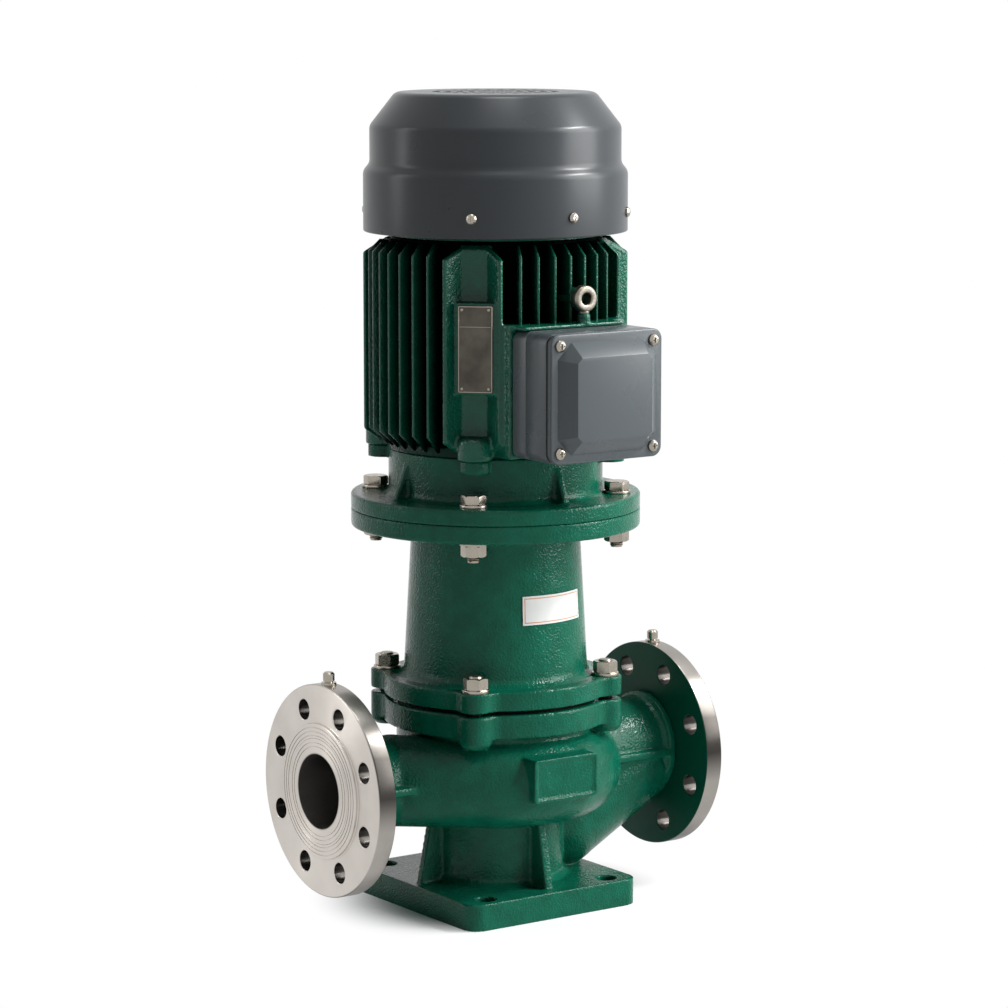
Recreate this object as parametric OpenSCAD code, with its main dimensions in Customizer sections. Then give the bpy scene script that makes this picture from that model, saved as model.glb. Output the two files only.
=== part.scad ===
// Vertical in-line pump with sleeved ports, driven by a flanged electric motor.
// All sizes are in millimetres. The origin is the centre of the base's underside.
// +Z runs up the shaft. The suction port faces +X, the discharge port -X and
// the terminal box -Y.

/* [Ports] */
// Distance from one flange face to the other
face_to_face = 372; // [360:2:400]
// Height of the port axis above the floor
port_height = 120; // [112:1:130]
// Bore of both ports
port_bore = 65; // [60:1:68]
// Wall of the pressed-in port sleeves
sleeve_wall = 3.5; // [2.5:0.5:4]
// Length of the port sleeves
sleeve_length = 62; // [50:1:66]
// Outside diameter of the pipe flanges
flange_od = 185; // [180:1:200]
// Thickness of a pipe flange without its raised face
flange_t = 17; // [15:1:20]
// Diameter of the raised face
raised_face_d = 118; // [112:1:124]
// Height of the raised face
raised_face_h = 3; // [2:0.5:4]
// Diameter of the pipe flange's bolt circle
pipe_bolt_circle = 145; // [142:1:150]
// Number of holes in a pipe flange
pipe_bolt_count = 8; // [4:4:8]
// Diameter of the holes in a pipe flange
pipe_bolt_hole = 18; // [14:1:19]

/* [Base] */
// Length of the base plate along the pipe
base_x = 180; // [176:1:200]
// Length of the base plate across the pipe
base_y = 188; // [182:1:200]
// Thickness of the base plate
base_t = 23.5; // [18:0.5:26]
// Corner radius of the base plate
base_corner_r = 14; // [8:1:18]
// Distance between the base's bolt holes along the pipe
base_bolt_x = 130; // [126:1:136]
// Distance between the base's bolt holes across the pipe
base_bolt_y = 155; // [144:1:156]
// Diameter of the base's bolt holes
base_bolt_hole = 18; // [12:1:19]
// Radius of the pedestal
pedestal_r = 60; // [57:1:64]
// How far each pedestal rib stands out at its foot
pedestal_rib_reach = 22; // [14:1:23]
// Thickness of a pedestal rib
pedestal_rib_t = 8; // [6:1:12]

/* [Casing] */
// Outer radius of the volute's tube where it leaves for the discharge port
volute_tube_r = 40; // [39.5:0.5:41]
// Outer radius of the volute, measured from the shaft
volute_outer_r = 111.5; // [109:0.5:114]
// Outer radius of the volute's tube at its narrow end
volute_tip_r = 31; // [30:1:33]
// Wall of the casing
casing_wall = 7; // [6:0.5:8]
// Radius of the round part of the cover joint
joint_r = 99; // [97:1:104]
// Radius of the bolt lobes on the cover joint
lobe_r = 14.5; // [13:0.5:16]
// Diameter of the bolt circle of the cover joint
cover_bolt_circle = 196; // [192:1:202]
// Height of the casing's joint face
casing_top_z = 184.5; // [182:0.5:187]
// Thickness of the casing's joint flange
casing_flange_t = 21; // [18:1:24]
// Gap between the two joint flanges
joint_gap = 3.5; // [2:0.5:5]

/* [Lantern] */
// Thickness of the lantern's lower flange
lantern_foot_t = 17; // [14:1:20]
// Height of the joint between lantern and motor
motor_joint_z = 353; // [345:1:365]
// Thickness of the lantern's upper flange
lantern_head_t = 16; // [13:1:18]
// Radius of the lantern barrel at its foot
barrel_foot_r = 81; // [79:0.5:83]
// Radius of the lantern barrel at its head
barrel_head_r = 74.5; // [72:0.5:77]
// Inner radius of the lantern
barrel_bore_r = 64; // [60:1:67]
// Radius of the motor's flange and of the lantern's upper flange
motor_flange_r = 127; // [125:1:132]
// Diameter of the motor flange's bolt circle
motor_bolt_circle = 215; // [212:1:220]
// Thickness of the motor's flange
motor_flange_t = 14; // [11:1:16]

/* [Motor] */
// Radius over the motor's fins
fin_r = 112; // [108:1:113]
// Outer radius of the motor frame's barrel
frame_r = 92; // [90:1:94]
// Inner radius of the motor frame
frame_bore_r = 84; // [83:0.5:86]
// Length of the motor frame
frame_length = 186; // [180:1:196]
// Thickness of a cooling fin
fin_t = 3; // [2:0.5:4]
// Number of fins between two of the frame's panels
fins_per_side = 7; // [5:1:8]
// Angle between two fins
fin_pitch = 8; // [7:0.5:8]
// Radius of the fan cowl at its skirt
cowl_r = 115; // [114:0.5:118]
// Height of the fan cowl
cowl_h = 120; // [118:1:126]
// Sheet thickness of the fan cowl
cowl_t = 1.5; // [1:0.5:2]
// Radius of the fan
fan_r = 84; // [76:1:88]
// Number of fan blades
fan_blades = 9; // [6:1:12]

/* [Terminal box] */
// Width of the terminal box
box_w = 116; // [108:1:118]
// Height of the terminal box
box_h = 109; // [104:1:112]
// Wall of the terminal box
box_wall = 4.5; // [3.5:0.5:6]
// Depth of the box seat
seat_depth = 20; // [16:1:24]
// Depth of the box body
box_depth = 29; // [24:1:36]
// Thickness of the lid's rim
lid_t = 6; // [5:0.5:8]
// Radius of the cable entry
cable_entry_r = 12.5; // [8:0.5:12.5]

/* [Rotor] */
// Radius of the shaft at the bearings
journal_r = 15; // [14.5:0.5:16]
// Radius of the impeller
impeller_r = 75; // [70:1:77]
// Width of the impeller's passages at the rim
impeller_gap = 12; // [9:1:14]
// Number of impeller vanes
impeller_vanes = 6; // [5:1:7]
// Number of balls in each bearing
ball_count = 8; // [6:1:8]

/* [Hidden] */
$fn = 64;
CAST = "#0f5a41";
STEEL = "#b9b4ac";
DARK_STEEL = "#6d6a66";
GREY = "#55595e";
BLACK = "#1c1d1e";
COPPER = "#a5633a";
BRASS = "#b08a45";

// Clearance between static pieces that fit inside each other
fit_gap = 0.15;
// Running clearance between pieces that turn and pieces that don't
run_gap = 0.5;
// Overlap of a cut past the face that it opens
cut = 1;

flange_face_x = face_to_face / 2;
flange_front_x = flange_face_x - raised_face_h;
flange_back_x = flange_front_x - flange_t;
bore_r = port_bore / 2;
sleeve_r = bore_r + sleeve_wall;
spigot_r = sleeve_r + 5;
sleeve_lip_r = spigot_r + 5;
nozzle_r = 44.5;
nozzle_end_x = 150;
nozzle_taper = 28;
collar_r = 48;
collar_t = 7;
plug_r = 5;
plug_neck_r = 3.5;
plug_flat_r = 6.5;
plug_depth = 9;

diagonals = [45, 135, 225, 315];
axes4 = [0, 90, 180, 270];

cover_bolt_r = cover_bolt_circle / 2;
casing_flange_z = casing_top_z - casing_flange_t;
joint_recess_r = 88;
joint_recess_h = 6.5;
chamber_r = 80;
chamber_floor_z = port_height - 20;
heart_top_z = casing_flange_z + 2;
lantern_z = casing_top_z + joint_gap;
lantern_foot_z = lantern_z + lantern_foot_t;
lantern_head_z = motor_joint_z - lantern_head_t;
stud_r = 6;
m12_across_corners_r = 10.97;
m12_nut_h = 10;
m12_head_h = 8;
m12_washer_r = 12;
m12_washer_t = 2.5;
spot_gap = 0.4;
stud_sink = 22;
stud_boss_h = 29;
stud_boss_chamfer = 4;
stud_proud = 1.5;

spigot_register_r = 90;
spigot_register_h = 4;
motor_bolt_r = motor_bolt_circle / 2;
motor_hole_r = 7.25;
shield_r = 94;
shield_wall = 7;
shield_rib_reach = 12;
shield_rib_t = 6;
frame_z = motor_joint_z + 53;
frame_top_z = frame_z + frame_length;
register_h = 4;
lug_pitch_r = 101;
lug_r = 15;
shield_lug_r = 13;
lug_h = 20;
shield_lug_h = 11;
lug_screw_r = 4;
lug_head_r = 6;
lug_head_h = 6;
lug_head_inset = 0.5;

bearing_r = 36;
bearing_w = 19;
ball_r = 6.1;
ball_pitch_r = (journal_r + bearing_r) / 2;
race_r = ball_r + 0.15;
ring_wall = 5.2;
drive_bearing_z = motor_joint_z + 19;
rear_bearing_z = frame_top_z - 4;
shaft_r = 14;
shaft_nose_r = 12;
lip_seal_r = shaft_r + 8;
impeller_hub_z = port_height - 8;
impeller_hub_top_z = port_height + 30;
rotor_r = 51.4;
stator_bore_r = rotor_r + run_gap;
core_z = frame_z + 39;
core_h = frame_length - 76;

box_face_y = 107.4;
box_z = frame_z + 4.5;
box_mid_z = box_z + box_h / 2;
box_corner_r = 9;
box_joint_y = box_face_y + seat_depth;
box_front_y = box_joint_y + box_depth;
box_gasket_t = 1;
lid_back_y = box_front_y + box_gasket_t;
lid_front_y = lid_back_y + lid_t;
lid_dome_h = 12;
lid_dome_margin = 7;
lid_dome_slope = 12.3;
lid_screw_inset = 9.5;
lid_screw_r = 2.5;
box_entry_y = box_joint_y + 14;

cowl_z = frame_top_z + 3;
cowl_top_z = cowl_z + cowl_h;
cowl_screw_z = cowl_z + 17;
cowl_waist_r = cowl_r - 5.7;
cowl_crown_r = 86.7;
cowl_step_z = cowl_z + 52;
cowl_step_h = 7;
cowl_crown_h = 29;
cowl_shoulder_z = cowl_top_z - cowl_crown_h;
grille_r = 66;
cowl_screw_angles = concat(diagonals, [90, 270]);
cowl_ear_gap = 0.3;
fan_z = cowl_z + 45;
fan_hub_r = 18;
fan_seat_r = 11;
fan_blade_h = 44;
fan_hub_h = 26;
shaft_top_z = fan_z + fan_hub_h + 6;

// A round plate with four bolt lobes, whose outline flows from disc to lobe in hollow fillets
module lobed_plate(h, disc_r, pitch_r, ear_r) {
    fillet_r = 16;
    to_fillet = disc_r + fillet_r;
    ear_to_fillet = ear_r + fillet_r;
    swing = acos((to_fillet * to_fillet + pitch_r * pitch_r - ear_to_fillet * ear_to_fillet)
        / (2 * to_fillet * pitch_r));
    linear_extrude(h) {
        circle(disc_r);
        for (a = diagonals) rotate(a) {
            translate([pitch_r, 0]) circle(ear_r);
            difference() {
                polygon([
                    [pitch_r / 2, 0],
                    [to_fillet * cos(swing), -to_fillet * sin(swing)],
                    [pitch_r, 0],
                    [to_fillet * cos(swing), to_fillet * sin(swing)]
                ]);
                for (side = [-1, 1]) rotate(side * swing) translate([to_fillet, 0]) circle(fillet_r);
            }
        }
    }
}

// A plate with round corners, centred in X and Y
module round_plate(w, d, h, r) {
    linear_extrude(h) round_rectangle(w, d, r);
}

module round_rectangle(w, d, r) {
    square([w - 2 * r, d], center = true);
    square([w, d - 2 * r], center = true);
    for (x = [-1, 1], y = [-1, 1]) translate([x * (w / 2 - r), y * (d / 2 - r)]) circle(r);
}

// A cylinder along X from x1 to x2, at the height of the ports
module along_x(x1, x2, r) {
    translate([min(x1, x2), 0, port_height]) rotate([0, 90, 0]) cylinder(h = abs(x2 - x1), r = r);
}

// Stands a shape that was drawn in X and Z, with its back on Y = 0, at a depth towards -Y
module towards_box(y) {
    translate([0, -y, box_mid_z]) rotate([90, 0, 0]) children();
}

module ring(outer, inner, h) {
    difference() {
        cylinder(h = h, r = outer);
        translate([0, 0, -cut]) cylinder(h = h + 2 * cut, r = inner);
    }
}

module hex_bolt(length, shank, corners, head, gap = 0) {
    intersection() {
        cylinder(h = head, r = corners, $fn = 6);
        cylinder(h = head, r1 = corners + head * 0.3, r2 = corners * 0.9);
    }
    translate([0, 0, -length]) cylinder(h = length + gap, r = shank);
}

module hex_nut(corners, bore, h) {
    difference() {
        intersection() {
            cylinder(h = h, r = corners, $fn = 6);
            cylinder(h = h, r1 = corners * 1.25, r2 = corners * 0.9);
            cylinder(h = h, r1 = corners * 0.9, r2 = corners * 1.25);
        }
        translate([0, 0, -cut]) cylinder(h = h + 2 * cut, r = bore);
    }
}

// The spiral of the volute. Its tube leaves the discharge branch at a knee, meets the spiral on a
// tangent, and then winds round the shaft from -X by way of -Y, +X and +Y. Angles here are counted
// from -X. The seen part keeps one radius, and behind the shaft the tube narrows in three steps.
spiral_start = 50;
spiral_r = volute_outer_r - volute_tube_r;
neck_knee_x = spiral_r / cos(spiral_start);
neck_length = spiral_r * tan(spiral_start);
sector_ends = [195, 240, 285];
narrowing = (volute_tube_r - volute_tip_r) / 3;
function sector_centre_r(i) = spiral_r - 0.6 * i * narrowing;
function sector_tube_r(i) = volute_tube_r - i * narrowing;

module volute(thinner = 0) {
    translate([0, 0, port_height]) {
        for (i = [0:2])
            rotate(180 + spiral_start) rotate_extrude(angle = sector_ends[i] - spiral_start)
                translate([sector_centre_r(i), 0]) circle(sector_tube_r(i) - thinner);
        rotate_extrude() translate([sector_centre_r(3), 0]) circle(sector_tube_r(3) - thinner);
        translate([-neck_knee_x, 0, 0]) {
            rotate([0, 90, spiral_start - 90]) cylinder(h = neck_length, r = volute_tube_r - 0.2 - thinner);
            sphere(volute_tube_r + 0.3 - thinner);
        }
    }
}

// The suction branch drops on a slant from the suction port and ends in a round bowl in the pedestal
branch_slope = 29.3;
branch_r = 45;
branch_knee_x = 160;
branch_knee_z = port_height - 2;
branch_bowl = 110;
branch_end = 120;
// A slanted cylinder between two distances from the knee
module branch(r, from, to) {
    translate([branch_knee_x, 0, branch_knee_z])
        rotate([0, -90 - branch_slope, 0]) translate([0, 0, from]) cylinder(h = to - from, r = r);
}

module pedestal_rib() {
    foot = pedestal_r + pedestal_rib_reach;
    rotate([90, 0, 0]) linear_extrude(pedestal_rib_t, center = true)
        polygon([
            [pedestal_r - 8, base_t - 2],
            [foot, base_t - 2],
            [foot, base_t + 3],
            [pedestal_r + 9, port_height - 30],
            [pedestal_r - 8, port_height - 30]
        ]);
}

// A raised plaque with a bare field on the volute's belly
plaque_w = 67;
plaque_h = 38;
plaque_x = -5;
plaque_y = 114;
plaque_z = port_height + 9;
plaque_rim = 3;
module plaque() {
    translate([plaque_x, -plaque_y, plaque_z]) rotate([-90, 0, 0]) difference() {
        round_plate(plaque_w, plaque_h, 34, 3);
        translate([0, 0, -cut])
            round_plate(plaque_w - 2 * plaque_rim, plaque_h - 2 * plaque_rim, cut + 1.2, 2);
    }
}

// The parting line of the casting stands proud along both branches
seam_h = 7;
seam_proud = 3.5;
module branch_seam(x1, x2) {
    translate([min(x1, x2), -nozzle_r - seam_proud, port_height - seam_h / 2])
        cube([abs(x2 - x1), 2 * (nozzle_r + seam_proud), seam_h]);
}

// Each stud sits in a boss that hangs below the joint flange
module stud_boss() {
    boss_r = lobe_r - 0.25;
    cylinder(h = stud_boss_chamfer, r1 = boss_r - stud_boss_chamfer, r2 = boss_r);
    translate([0, 0, stud_boss_chamfer]) cylinder(h = stud_boss_h - stud_boss_chamfer - 1, r = boss_r);
}

module casing_outside() {
    round_plate(base_x, base_y, base_t, base_corner_r);
    translate([0, 0, base_t - cut]) cylinder(h = port_height - base_t - 25, r = pedestal_r);
    translate([0, 0, base_t - cut]) cylinder(h = 7, r1 = pedestal_r + 6, r2 = pedestal_r - 1);
    for (a = axes4) rotate(a) pedestal_rib();
    volute();
    translate([0, 0, port_height - 33]) cylinder(h = 20, r1 = pedestal_r + 4, r2 = 88);
    translate([0, 0, port_height - 13]) cylinder(h = heart_top_z - port_height + 13, r = 88);
    translate([0, 0, casing_flange_z])
        lobed_plate(casing_flange_t, joint_r, cover_bolt_r, lobe_r);
    for (a = diagonals) rotate(a) translate([cover_bolt_r, 0, casing_top_z - stud_boss_h]) stud_boss();
    along_x(-flange_back_x, -neck_knee_x, volute_tube_r);
    along_x(-flange_back_x, -nozzle_end_x, nozzle_r);
    translate([-nozzle_end_x, 0, port_height]) rotate([0, 90, 0])
        cylinder(h = nozzle_taper, r1 = nozzle_r, r2 = volute_tube_r - 2);
    along_x(-flange_front_x, -flange_back_x + cut, spigot_r);
    along_x(-flange_back_x, -flange_back_x + collar_t, collar_r);
    along_x(branch_knee_x - 4, flange_back_x, nozzle_r);
    along_x(flange_back_x - cut, flange_front_x, spigot_r);
    along_x(flange_back_x - collar_t, flange_back_x, collar_r);
    intersection() {
        union() {
            branch(branch_r, 10, branch_bowl);
            translate([branch_knee_x, 0, branch_knee_z]) rotate([0, -90 - branch_slope, 0])
                translate([0, 0, branch_bowl]) sphere(branch_r + 0.3);
        }
        translate([0, -100, 0]) cube([flange_back_x, 200, 200]);
    }
    along_x(80, branch_knee_x, nozzle_r - 1);
    branch_seam(-flange_back_x, -neck_knee_x);
    branch_seam(100, flange_back_x);
    plaque();
}

chamber_r_low = 50;
eye_seat_r = 44;
suction_floor_z = base_t + 10.5;
module casing_inside() {
    volute(casing_wall);
    along_x(-flange_face_x + sleeve_length, -neck_knee_x, volute_tube_r - casing_wall + 0.1);
    translate([0, 0, chamber_floor_z]) cylinder(h = casing_top_z - chamber_floor_z + cut, r = chamber_r);
    translate([0, 0, casing_top_z - joint_recess_h]) cylinder(h = joint_recess_h + cut, r = joint_recess_r);
    translate([0, 0, chamber_floor_z - 20]) cylinder(h = 20 + cut, r = eye_seat_r);
    translate([0, 0, suction_floor_z]) cylinder(h = chamber_floor_z - 12 - suction_floor_z, r = chamber_r_low);
    branch(sleeve_r + 1, 15, branch_end);
    along_x(flange_face_x - sleeve_length - cut, flange_face_x, sleeve_r + fit_gap);
    along_x(-flange_face_x, -flange_face_x + sleeve_length + cut, sleeve_r + fit_gap);
}

module base_holes() {
    for (x = [-1, 1], y = [-1, 1])
        translate([x * base_bolt_x / 2, y * base_bolt_y / 2, -cut])
            cylinder(h = base_t + 2 * cut, r = base_bolt_hole / 2);
}

module at_cover_bolts(z) {
    for (a = diagonals) rotate(a) translate([cover_bolt_r, 0, z]) rotate(-a + 12) children();
}

module pump_casing() {
    color(CAST) difference() {
        casing_outside();
        casing_inside();
        base_holes();
        at_cover_bolts(casing_top_z - stud_sink) cylinder(h = stud_sink + cut, r = stud_r + fit_gap);
    }
}

// A pipe flange on the +X side. The raised face has fine sealing grooves outside the sleeve's lip.
groove_w = 0.8;
groove_depth = 0.6;
groove_radii = [sleeve_lip_r + 2.5, sleeve_lip_r + 6, sleeve_lip_r + 9.5];
module pipe_flange() {
    translate([flange_back_x, 0, port_height]) rotate([0, 90, 0]) difference() {
        union() {
            translate([0, 0, 1.5]) cylinder(h = flange_t - 3, r = flange_od / 2);
            cylinder(h = 1.5, r1 = flange_od / 2 - 1.5, r2 = flange_od / 2);
            translate([0, 0, flange_t - 1.5]) cylinder(h = 1.5, r1 = flange_od / 2, r2 = flange_od / 2 - 1.5);
            cylinder(h = flange_t + raised_face_h, r = raised_face_d / 2);
        }
        translate([0, 0, -cut]) cylinder(h = flange_t + 2 * cut, r = spigot_r + fit_gap);
        translate([0, 0, flange_t]) cylinder(h = raised_face_h + cut, r = sleeve_lip_r + fit_gap);
        for (i = [0:pipe_bolt_count - 1])
            rotate(360 * (i + 0.5) / pipe_bolt_count) translate([pipe_bolt_circle / 2, 0, -cut])
                cylinder(h = flange_t + 2 * cut, r = pipe_bolt_hole / 2);
        for (r = groove_radii) translate([0, 0, flange_t + raised_face_h - groove_depth])
            ring(r + groove_w / 2, r - groove_w / 2, groove_depth + cut);
        translate([-flange_od / 2 - cut, 0, flange_t / 2]) rotate([0, 90, 0])
            cylinder(h = plug_depth + cut + fit_gap, r = plug_neck_r + fit_gap);
    }
}

module suction_flange() {
    color(STEEL) pipe_flange();
}

module discharge_flange() {
    color(STEEL) mirror([1, 0, 0]) pipe_flange();
}

// A port sleeve on the +X side, pressed in until its lip seats on the spigot
module port_sleeve() {
    translate([flange_face_x, 0, port_height]) rotate([0, 90, 0]) difference() {
        union() {
            translate([0, 0, -sleeve_length]) cylinder(h = sleeve_length, r = sleeve_r);
            translate([0, 0, -raised_face_h]) cylinder(h = raised_face_h, r = sleeve_lip_r);
        }
        translate([0, 0, -sleeve_length - cut]) cylinder(h = sleeve_length + 2 * cut, r = bore_r);
        for (r = [sleeve_r + 3, sleeve_r + 6.5]) translate([0, 0, -groove_depth])
            ring(r + groove_w / 2, r - groove_w / 2, groove_depth + cut);
    }
}

module suction_sleeve() {
    color(DARK_STEEL) port_sleeve();
}

module discharge_sleeve() {
    color(DARK_STEEL) mirror([1, 0, 0]) port_sleeve();
}

// A small plug screwed radially into the top of a flange's rim, for a pressure gauge
module gauge_plug() {
    seat_z = sqrt(pow(flange_od / 2, 2) - pow(plug_flat_r, 2));
    translate([flange_back_x + flange_t / 2, 0, port_height]) {
        translate([0, 0, flange_od / 2 - plug_depth]) cylinder(h = plug_depth + 2, r = plug_neck_r);
        translate([0, 0, flange_od / 2]) cylinder(h = 2, r = plug_flat_r);
        translate([0, 0, flange_od / 2 + 2]) cylinder(h = 1.5, r = plug_neck_r);
        translate([0, 0, flange_od / 2 + 3.5]) cylinder(h = 6, r = plug_r);
        translate([0, 0, flange_od / 2 + 9.5]) cylinder(h = 1.5, r1 = plug_r, r2 = plug_r - 1.5);
    }
}

module suction_gauge_plug() {
    color(STEEL) gauge_plug();
}

module discharge_gauge_plug() {
    color(STEEL) mirror([1, 0, 0]) gauge_plug();
}

// Impeller and its running fits
eye_r = 34;
eye_ring_r = eye_r + 4;
module eye_wear_ring() {
    color(BRASS) translate([0, 0, chamber_floor_z - 16])
        ring(eye_seat_r - fit_gap, eye_ring_r + run_gap, 16);
}

module casing_gasket() {
    color(BLACK) translate([0, 0, casing_top_z - joint_recess_h])
        ring(joint_recess_r - 0.6, chamber_r + 0.5, 1.5);
}

// The seal plate closes the impeller chamber. Its middle holds the seal and its seat.
seal_chamber_r = 32;
seat_r = 21;
seat_z = casing_top_z - 8;
module seal_plate() {
    rim_z = casing_top_z - joint_recess_h + 1.5;
    face_z = casing_top_z - 26;
    color(STEEL) rotate_extrude() polygon([
        [seal_chamber_r, face_z],
        [chamber_r - fit_gap, face_z],
        [chamber_r - fit_gap, rim_z],
        [joint_recess_r - fit_gap - 0.4, rim_z],
        [joint_recess_r - fit_gap - 0.4, lantern_z],
        [shaft_r + 1.5, lantern_z],
        [shaft_r + 1.5, seat_z + 7],
        [seat_r + fit_gap, seat_z + 7],
        [seat_r + fit_gap, seat_z],
        [seal_chamber_r, seat_z]
    ]);
}

module seal_seat() {
    color("#d8d2c4") translate([0, 0, seat_z - 1]) ring(seat_r, shaft_r + 0.8, 8);
}

module seal_face_ring() {
    color(BLACK) translate([0, 0, seat_z - 7.2]) ring(19, shaft_nose_r + 1, 6);
}

seal_spring_z = impeller_hub_top_z + 5;
seal_spring_h = seat_z - 7.2 - seal_spring_z;
module seal_spring() {
    wire_r = 1.1;
    coil_r = 17;
    turns = 4;
    steps = 16;
    sides = 6;
    rise = (seal_spring_h - 2 * wire_r) / turns;
    n = turns * steps;
    points = [
        for (i = [0:n], k = [0:sides - 1])
            let (a = 360 * i / steps, b = 360 * k / sides, r = coil_r + wire_r * cos(b))
            [r * cos(a), r * sin(a), wire_r + rise * i / steps + wire_r * sin(b)]
    ];
    walls = [
        for (i = [0:n - 1], k = [0:sides - 1])
            let (next = (k + 1) % sides)
            each [
                [i * sides + k, i * sides + next, (i + 1) * sides + k],
                [i * sides + next, (i + 1) * sides + next, (i + 1) * sides + k]
            ]
    ];
    ends = [[for (k = [sides - 1:-1:0]) k], [for (k = [0:sides - 1]) n * sides + k]];
    color(STEEL) translate([0, 0, seal_spring_z]) polyhedron(points, concat(walls, ends));
}

module seal_collar() {
    color(STEEL) translate([0, 0, impeller_hub_top_z]) ring(20, shaft_nose_r + 1, 5);
}

// Lantern: lobed foot, tapered barrel and round head
module lantern() {
    color(CAST) difference() {
        union() {
            translate([0, 0, lantern_z]) lobed_plate(lantern_foot_t, joint_r, cover_bolt_r, lobe_r);
            rotate_extrude() polygon([
                [0, lantern_foot_z - cut],
                [barrel_foot_r + 6, lantern_foot_z - cut],
                [barrel_foot_r + 5, lantern_foot_z + 1],
                [barrel_foot_r + 1.8, lantern_foot_z + 3],
                [barrel_foot_r, lantern_foot_z + 7],
                [barrel_head_r, lantern_head_z - 8],
                [barrel_head_r + 1.5, lantern_head_z - 3],
                [barrel_head_r + 6, lantern_head_z + cut],
                [0, lantern_head_z + cut]
            ]);
            translate([0, 0, lantern_head_z]) cylinder(h = 1.5, r1 = motor_flange_r - 1.5, r2 = motor_flange_r);
            translate([0, 0, lantern_head_z + 1.5]) cylinder(h = lantern_head_t - 1.5, r = motor_flange_r);
        }
        translate([0, 0, lantern_z - cut]) cylinder(h = motor_joint_z - lantern_z + 2 * cut, r = barrel_bore_r);
        translate([0, 0, motor_joint_z - spigot_register_h - 2])
            cylinder(h = spigot_register_h + 2 + cut, r = spigot_register_r + fit_gap);
        at_cover_bolts(lantern_z - cut) cylinder(h = lantern_foot_t + 2 * cut, r = stud_r + 1);
        at_cover_bolts(lantern_foot_z) cylinder(h = m12_nut_h + 8, r = m12_washer_r + spot_gap);
        at_motor_bolts(lantern_head_z - cut) cylinder(h = lantern_head_t + 2 * cut, r = motor_hole_r);
    }
}

module cover_studs() {
    top = lantern_foot_z + m12_washer_t + m12_nut_h + stud_proud;
    bottom = casing_top_z - stud_sink + 1;
    color(STEEL) at_cover_bolts(bottom) {
        cylinder(h = top - bottom - 1, r = stud_r);
        translate([0, 0, top - bottom - 1]) cylinder(h = 1, r1 = stud_r, r2 = stud_r - 1);
    }
}

module cover_washers() {
    color(STEEL) at_cover_bolts(lantern_foot_z) ring(m12_washer_r, stud_r + 0.5, m12_washer_t);
}

module cover_nuts() {
    color(STEEL) at_cover_bolts(lantern_foot_z + m12_washer_t)
        hex_nut(m12_across_corners_r, stud_r + fit_gap, m12_nut_h);
}

module at_motor_bolts(z) {
    for (a = diagonals) rotate(a) translate([motor_bolt_r, 0, z]) rotate(-a + 20) children();
}

// Drive end shield: the motor's flange, a short drum with ribs, and the lower bearing's housing
drum_z = motor_joint_z + motor_flange_t;
hub_r = bearing_r + 8;
module shield_rib() {
    rotate([90, 0, 0]) linear_extrude(shield_rib_t, center = true)
        polygon([
            [shield_r - 3, drum_z - cut],
            [shield_r + shield_rib_reach, drum_z - cut],
            [shield_r + shield_rib_reach, drum_z + 2],
            [shield_r, frame_z - 8],
            [shield_r - 3, frame_z - 8]
        ]);
}

module drive_end_shield() {
    lip_seal_z = motor_joint_z - spigot_register_h;
    color(CAST) difference() {
        union() {
            rotate_extrude() polygon([
                [shaft_r + 2, lip_seal_z],
                [spigot_register_r, lip_seal_z],
                [spigot_register_r, motor_joint_z],
                [motor_flange_r, motor_joint_z],
                [motor_flange_r, drum_z - 1.5],
                [motor_flange_r - 1.5, drum_z],
                [shield_r + 5, drum_z],
                [shield_r + 1.5, drum_z + 1.5],
                [shield_r, drum_z + 5],
                [shield_r, frame_z],
                [frame_bore_r - fit_gap, frame_z],
                [frame_bore_r - fit_gap, frame_z + register_h],
                [frame_bore_r - shield_wall, frame_z + register_h],
                [frame_bore_r - shield_wall, drum_z + 4],
                [hub_r, drum_z + 4],
                [hub_r, drive_bearing_z + bearing_w + 1],
                [bearing_r + fit_gap, drive_bearing_z + bearing_w + 1],
                [bearing_r + fit_gap, drive_bearing_z],
                [shaft_r + 6, drive_bearing_z],
                [shaft_r + 6, drive_bearing_z - 4],
                [shaft_r + 2, drive_bearing_z - 4]
            ]);
            for (a = axes4) rotate(a) shield_rib();
            for (a = diagonals) rotate(a) translate([lug_pitch_r, 0, frame_z - shield_lug_h])
                cylinder(h = shield_lug_h, r = shield_lug_r);
        }
        for (a = diagonals) rotate(a) translate([lug_pitch_r, 0, frame_z - shield_lug_h - cut]) {
            cylinder(h = shield_lug_h + 2 * cut + register_h, r = lug_screw_r + fit_gap);
            cylinder(h = lug_head_h + lug_head_inset + cut, r = lug_head_r + 0.3);
        }
        at_motor_bolts(motor_joint_z - cut) cylinder(h = motor_flange_t + 2 * cut, r = motor_hole_r);
        at_motor_bolts(drum_z) cylinder(h = m12_head_h + 4, r = m12_washer_r + spot_gap);
        translate([0, 0, lip_seal_z - cut]) cylinder(h = 8 + cut, r = lip_seal_r);
    }
}

module shaft_lip_seal() {
    color(BLACK) translate([0, 0, motor_joint_z - spigot_register_h])
        ring(lip_seal_r - fit_gap, shaft_r + 0.3, 7.5);
}

module flange_bolts() {
    length = motor_flange_t + lantern_head_t + 2 * m12_washer_t + m12_nut_h + 5;
    color(STEEL) at_motor_bolts(drum_z + m12_washer_t)
        hex_bolt(length, stud_r, m12_across_corners_r, m12_head_h, cut);
}

module flange_washers() {
    color(STEEL) {
        at_motor_bolts(drum_z) ring(m12_washer_r, stud_r + 0.5, m12_washer_t);
        at_motor_bolts(lantern_head_z - m12_washer_t) ring(m12_washer_r, stud_r + 0.5, m12_washer_t);
    }
}

module flange_nuts() {
    color(STEEL) at_motor_bolts(lantern_head_z - m12_washer_t - m12_nut_h)
        hex_nut(m12_across_corners_r, stud_r + fit_gap, m12_nut_h);
}

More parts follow.
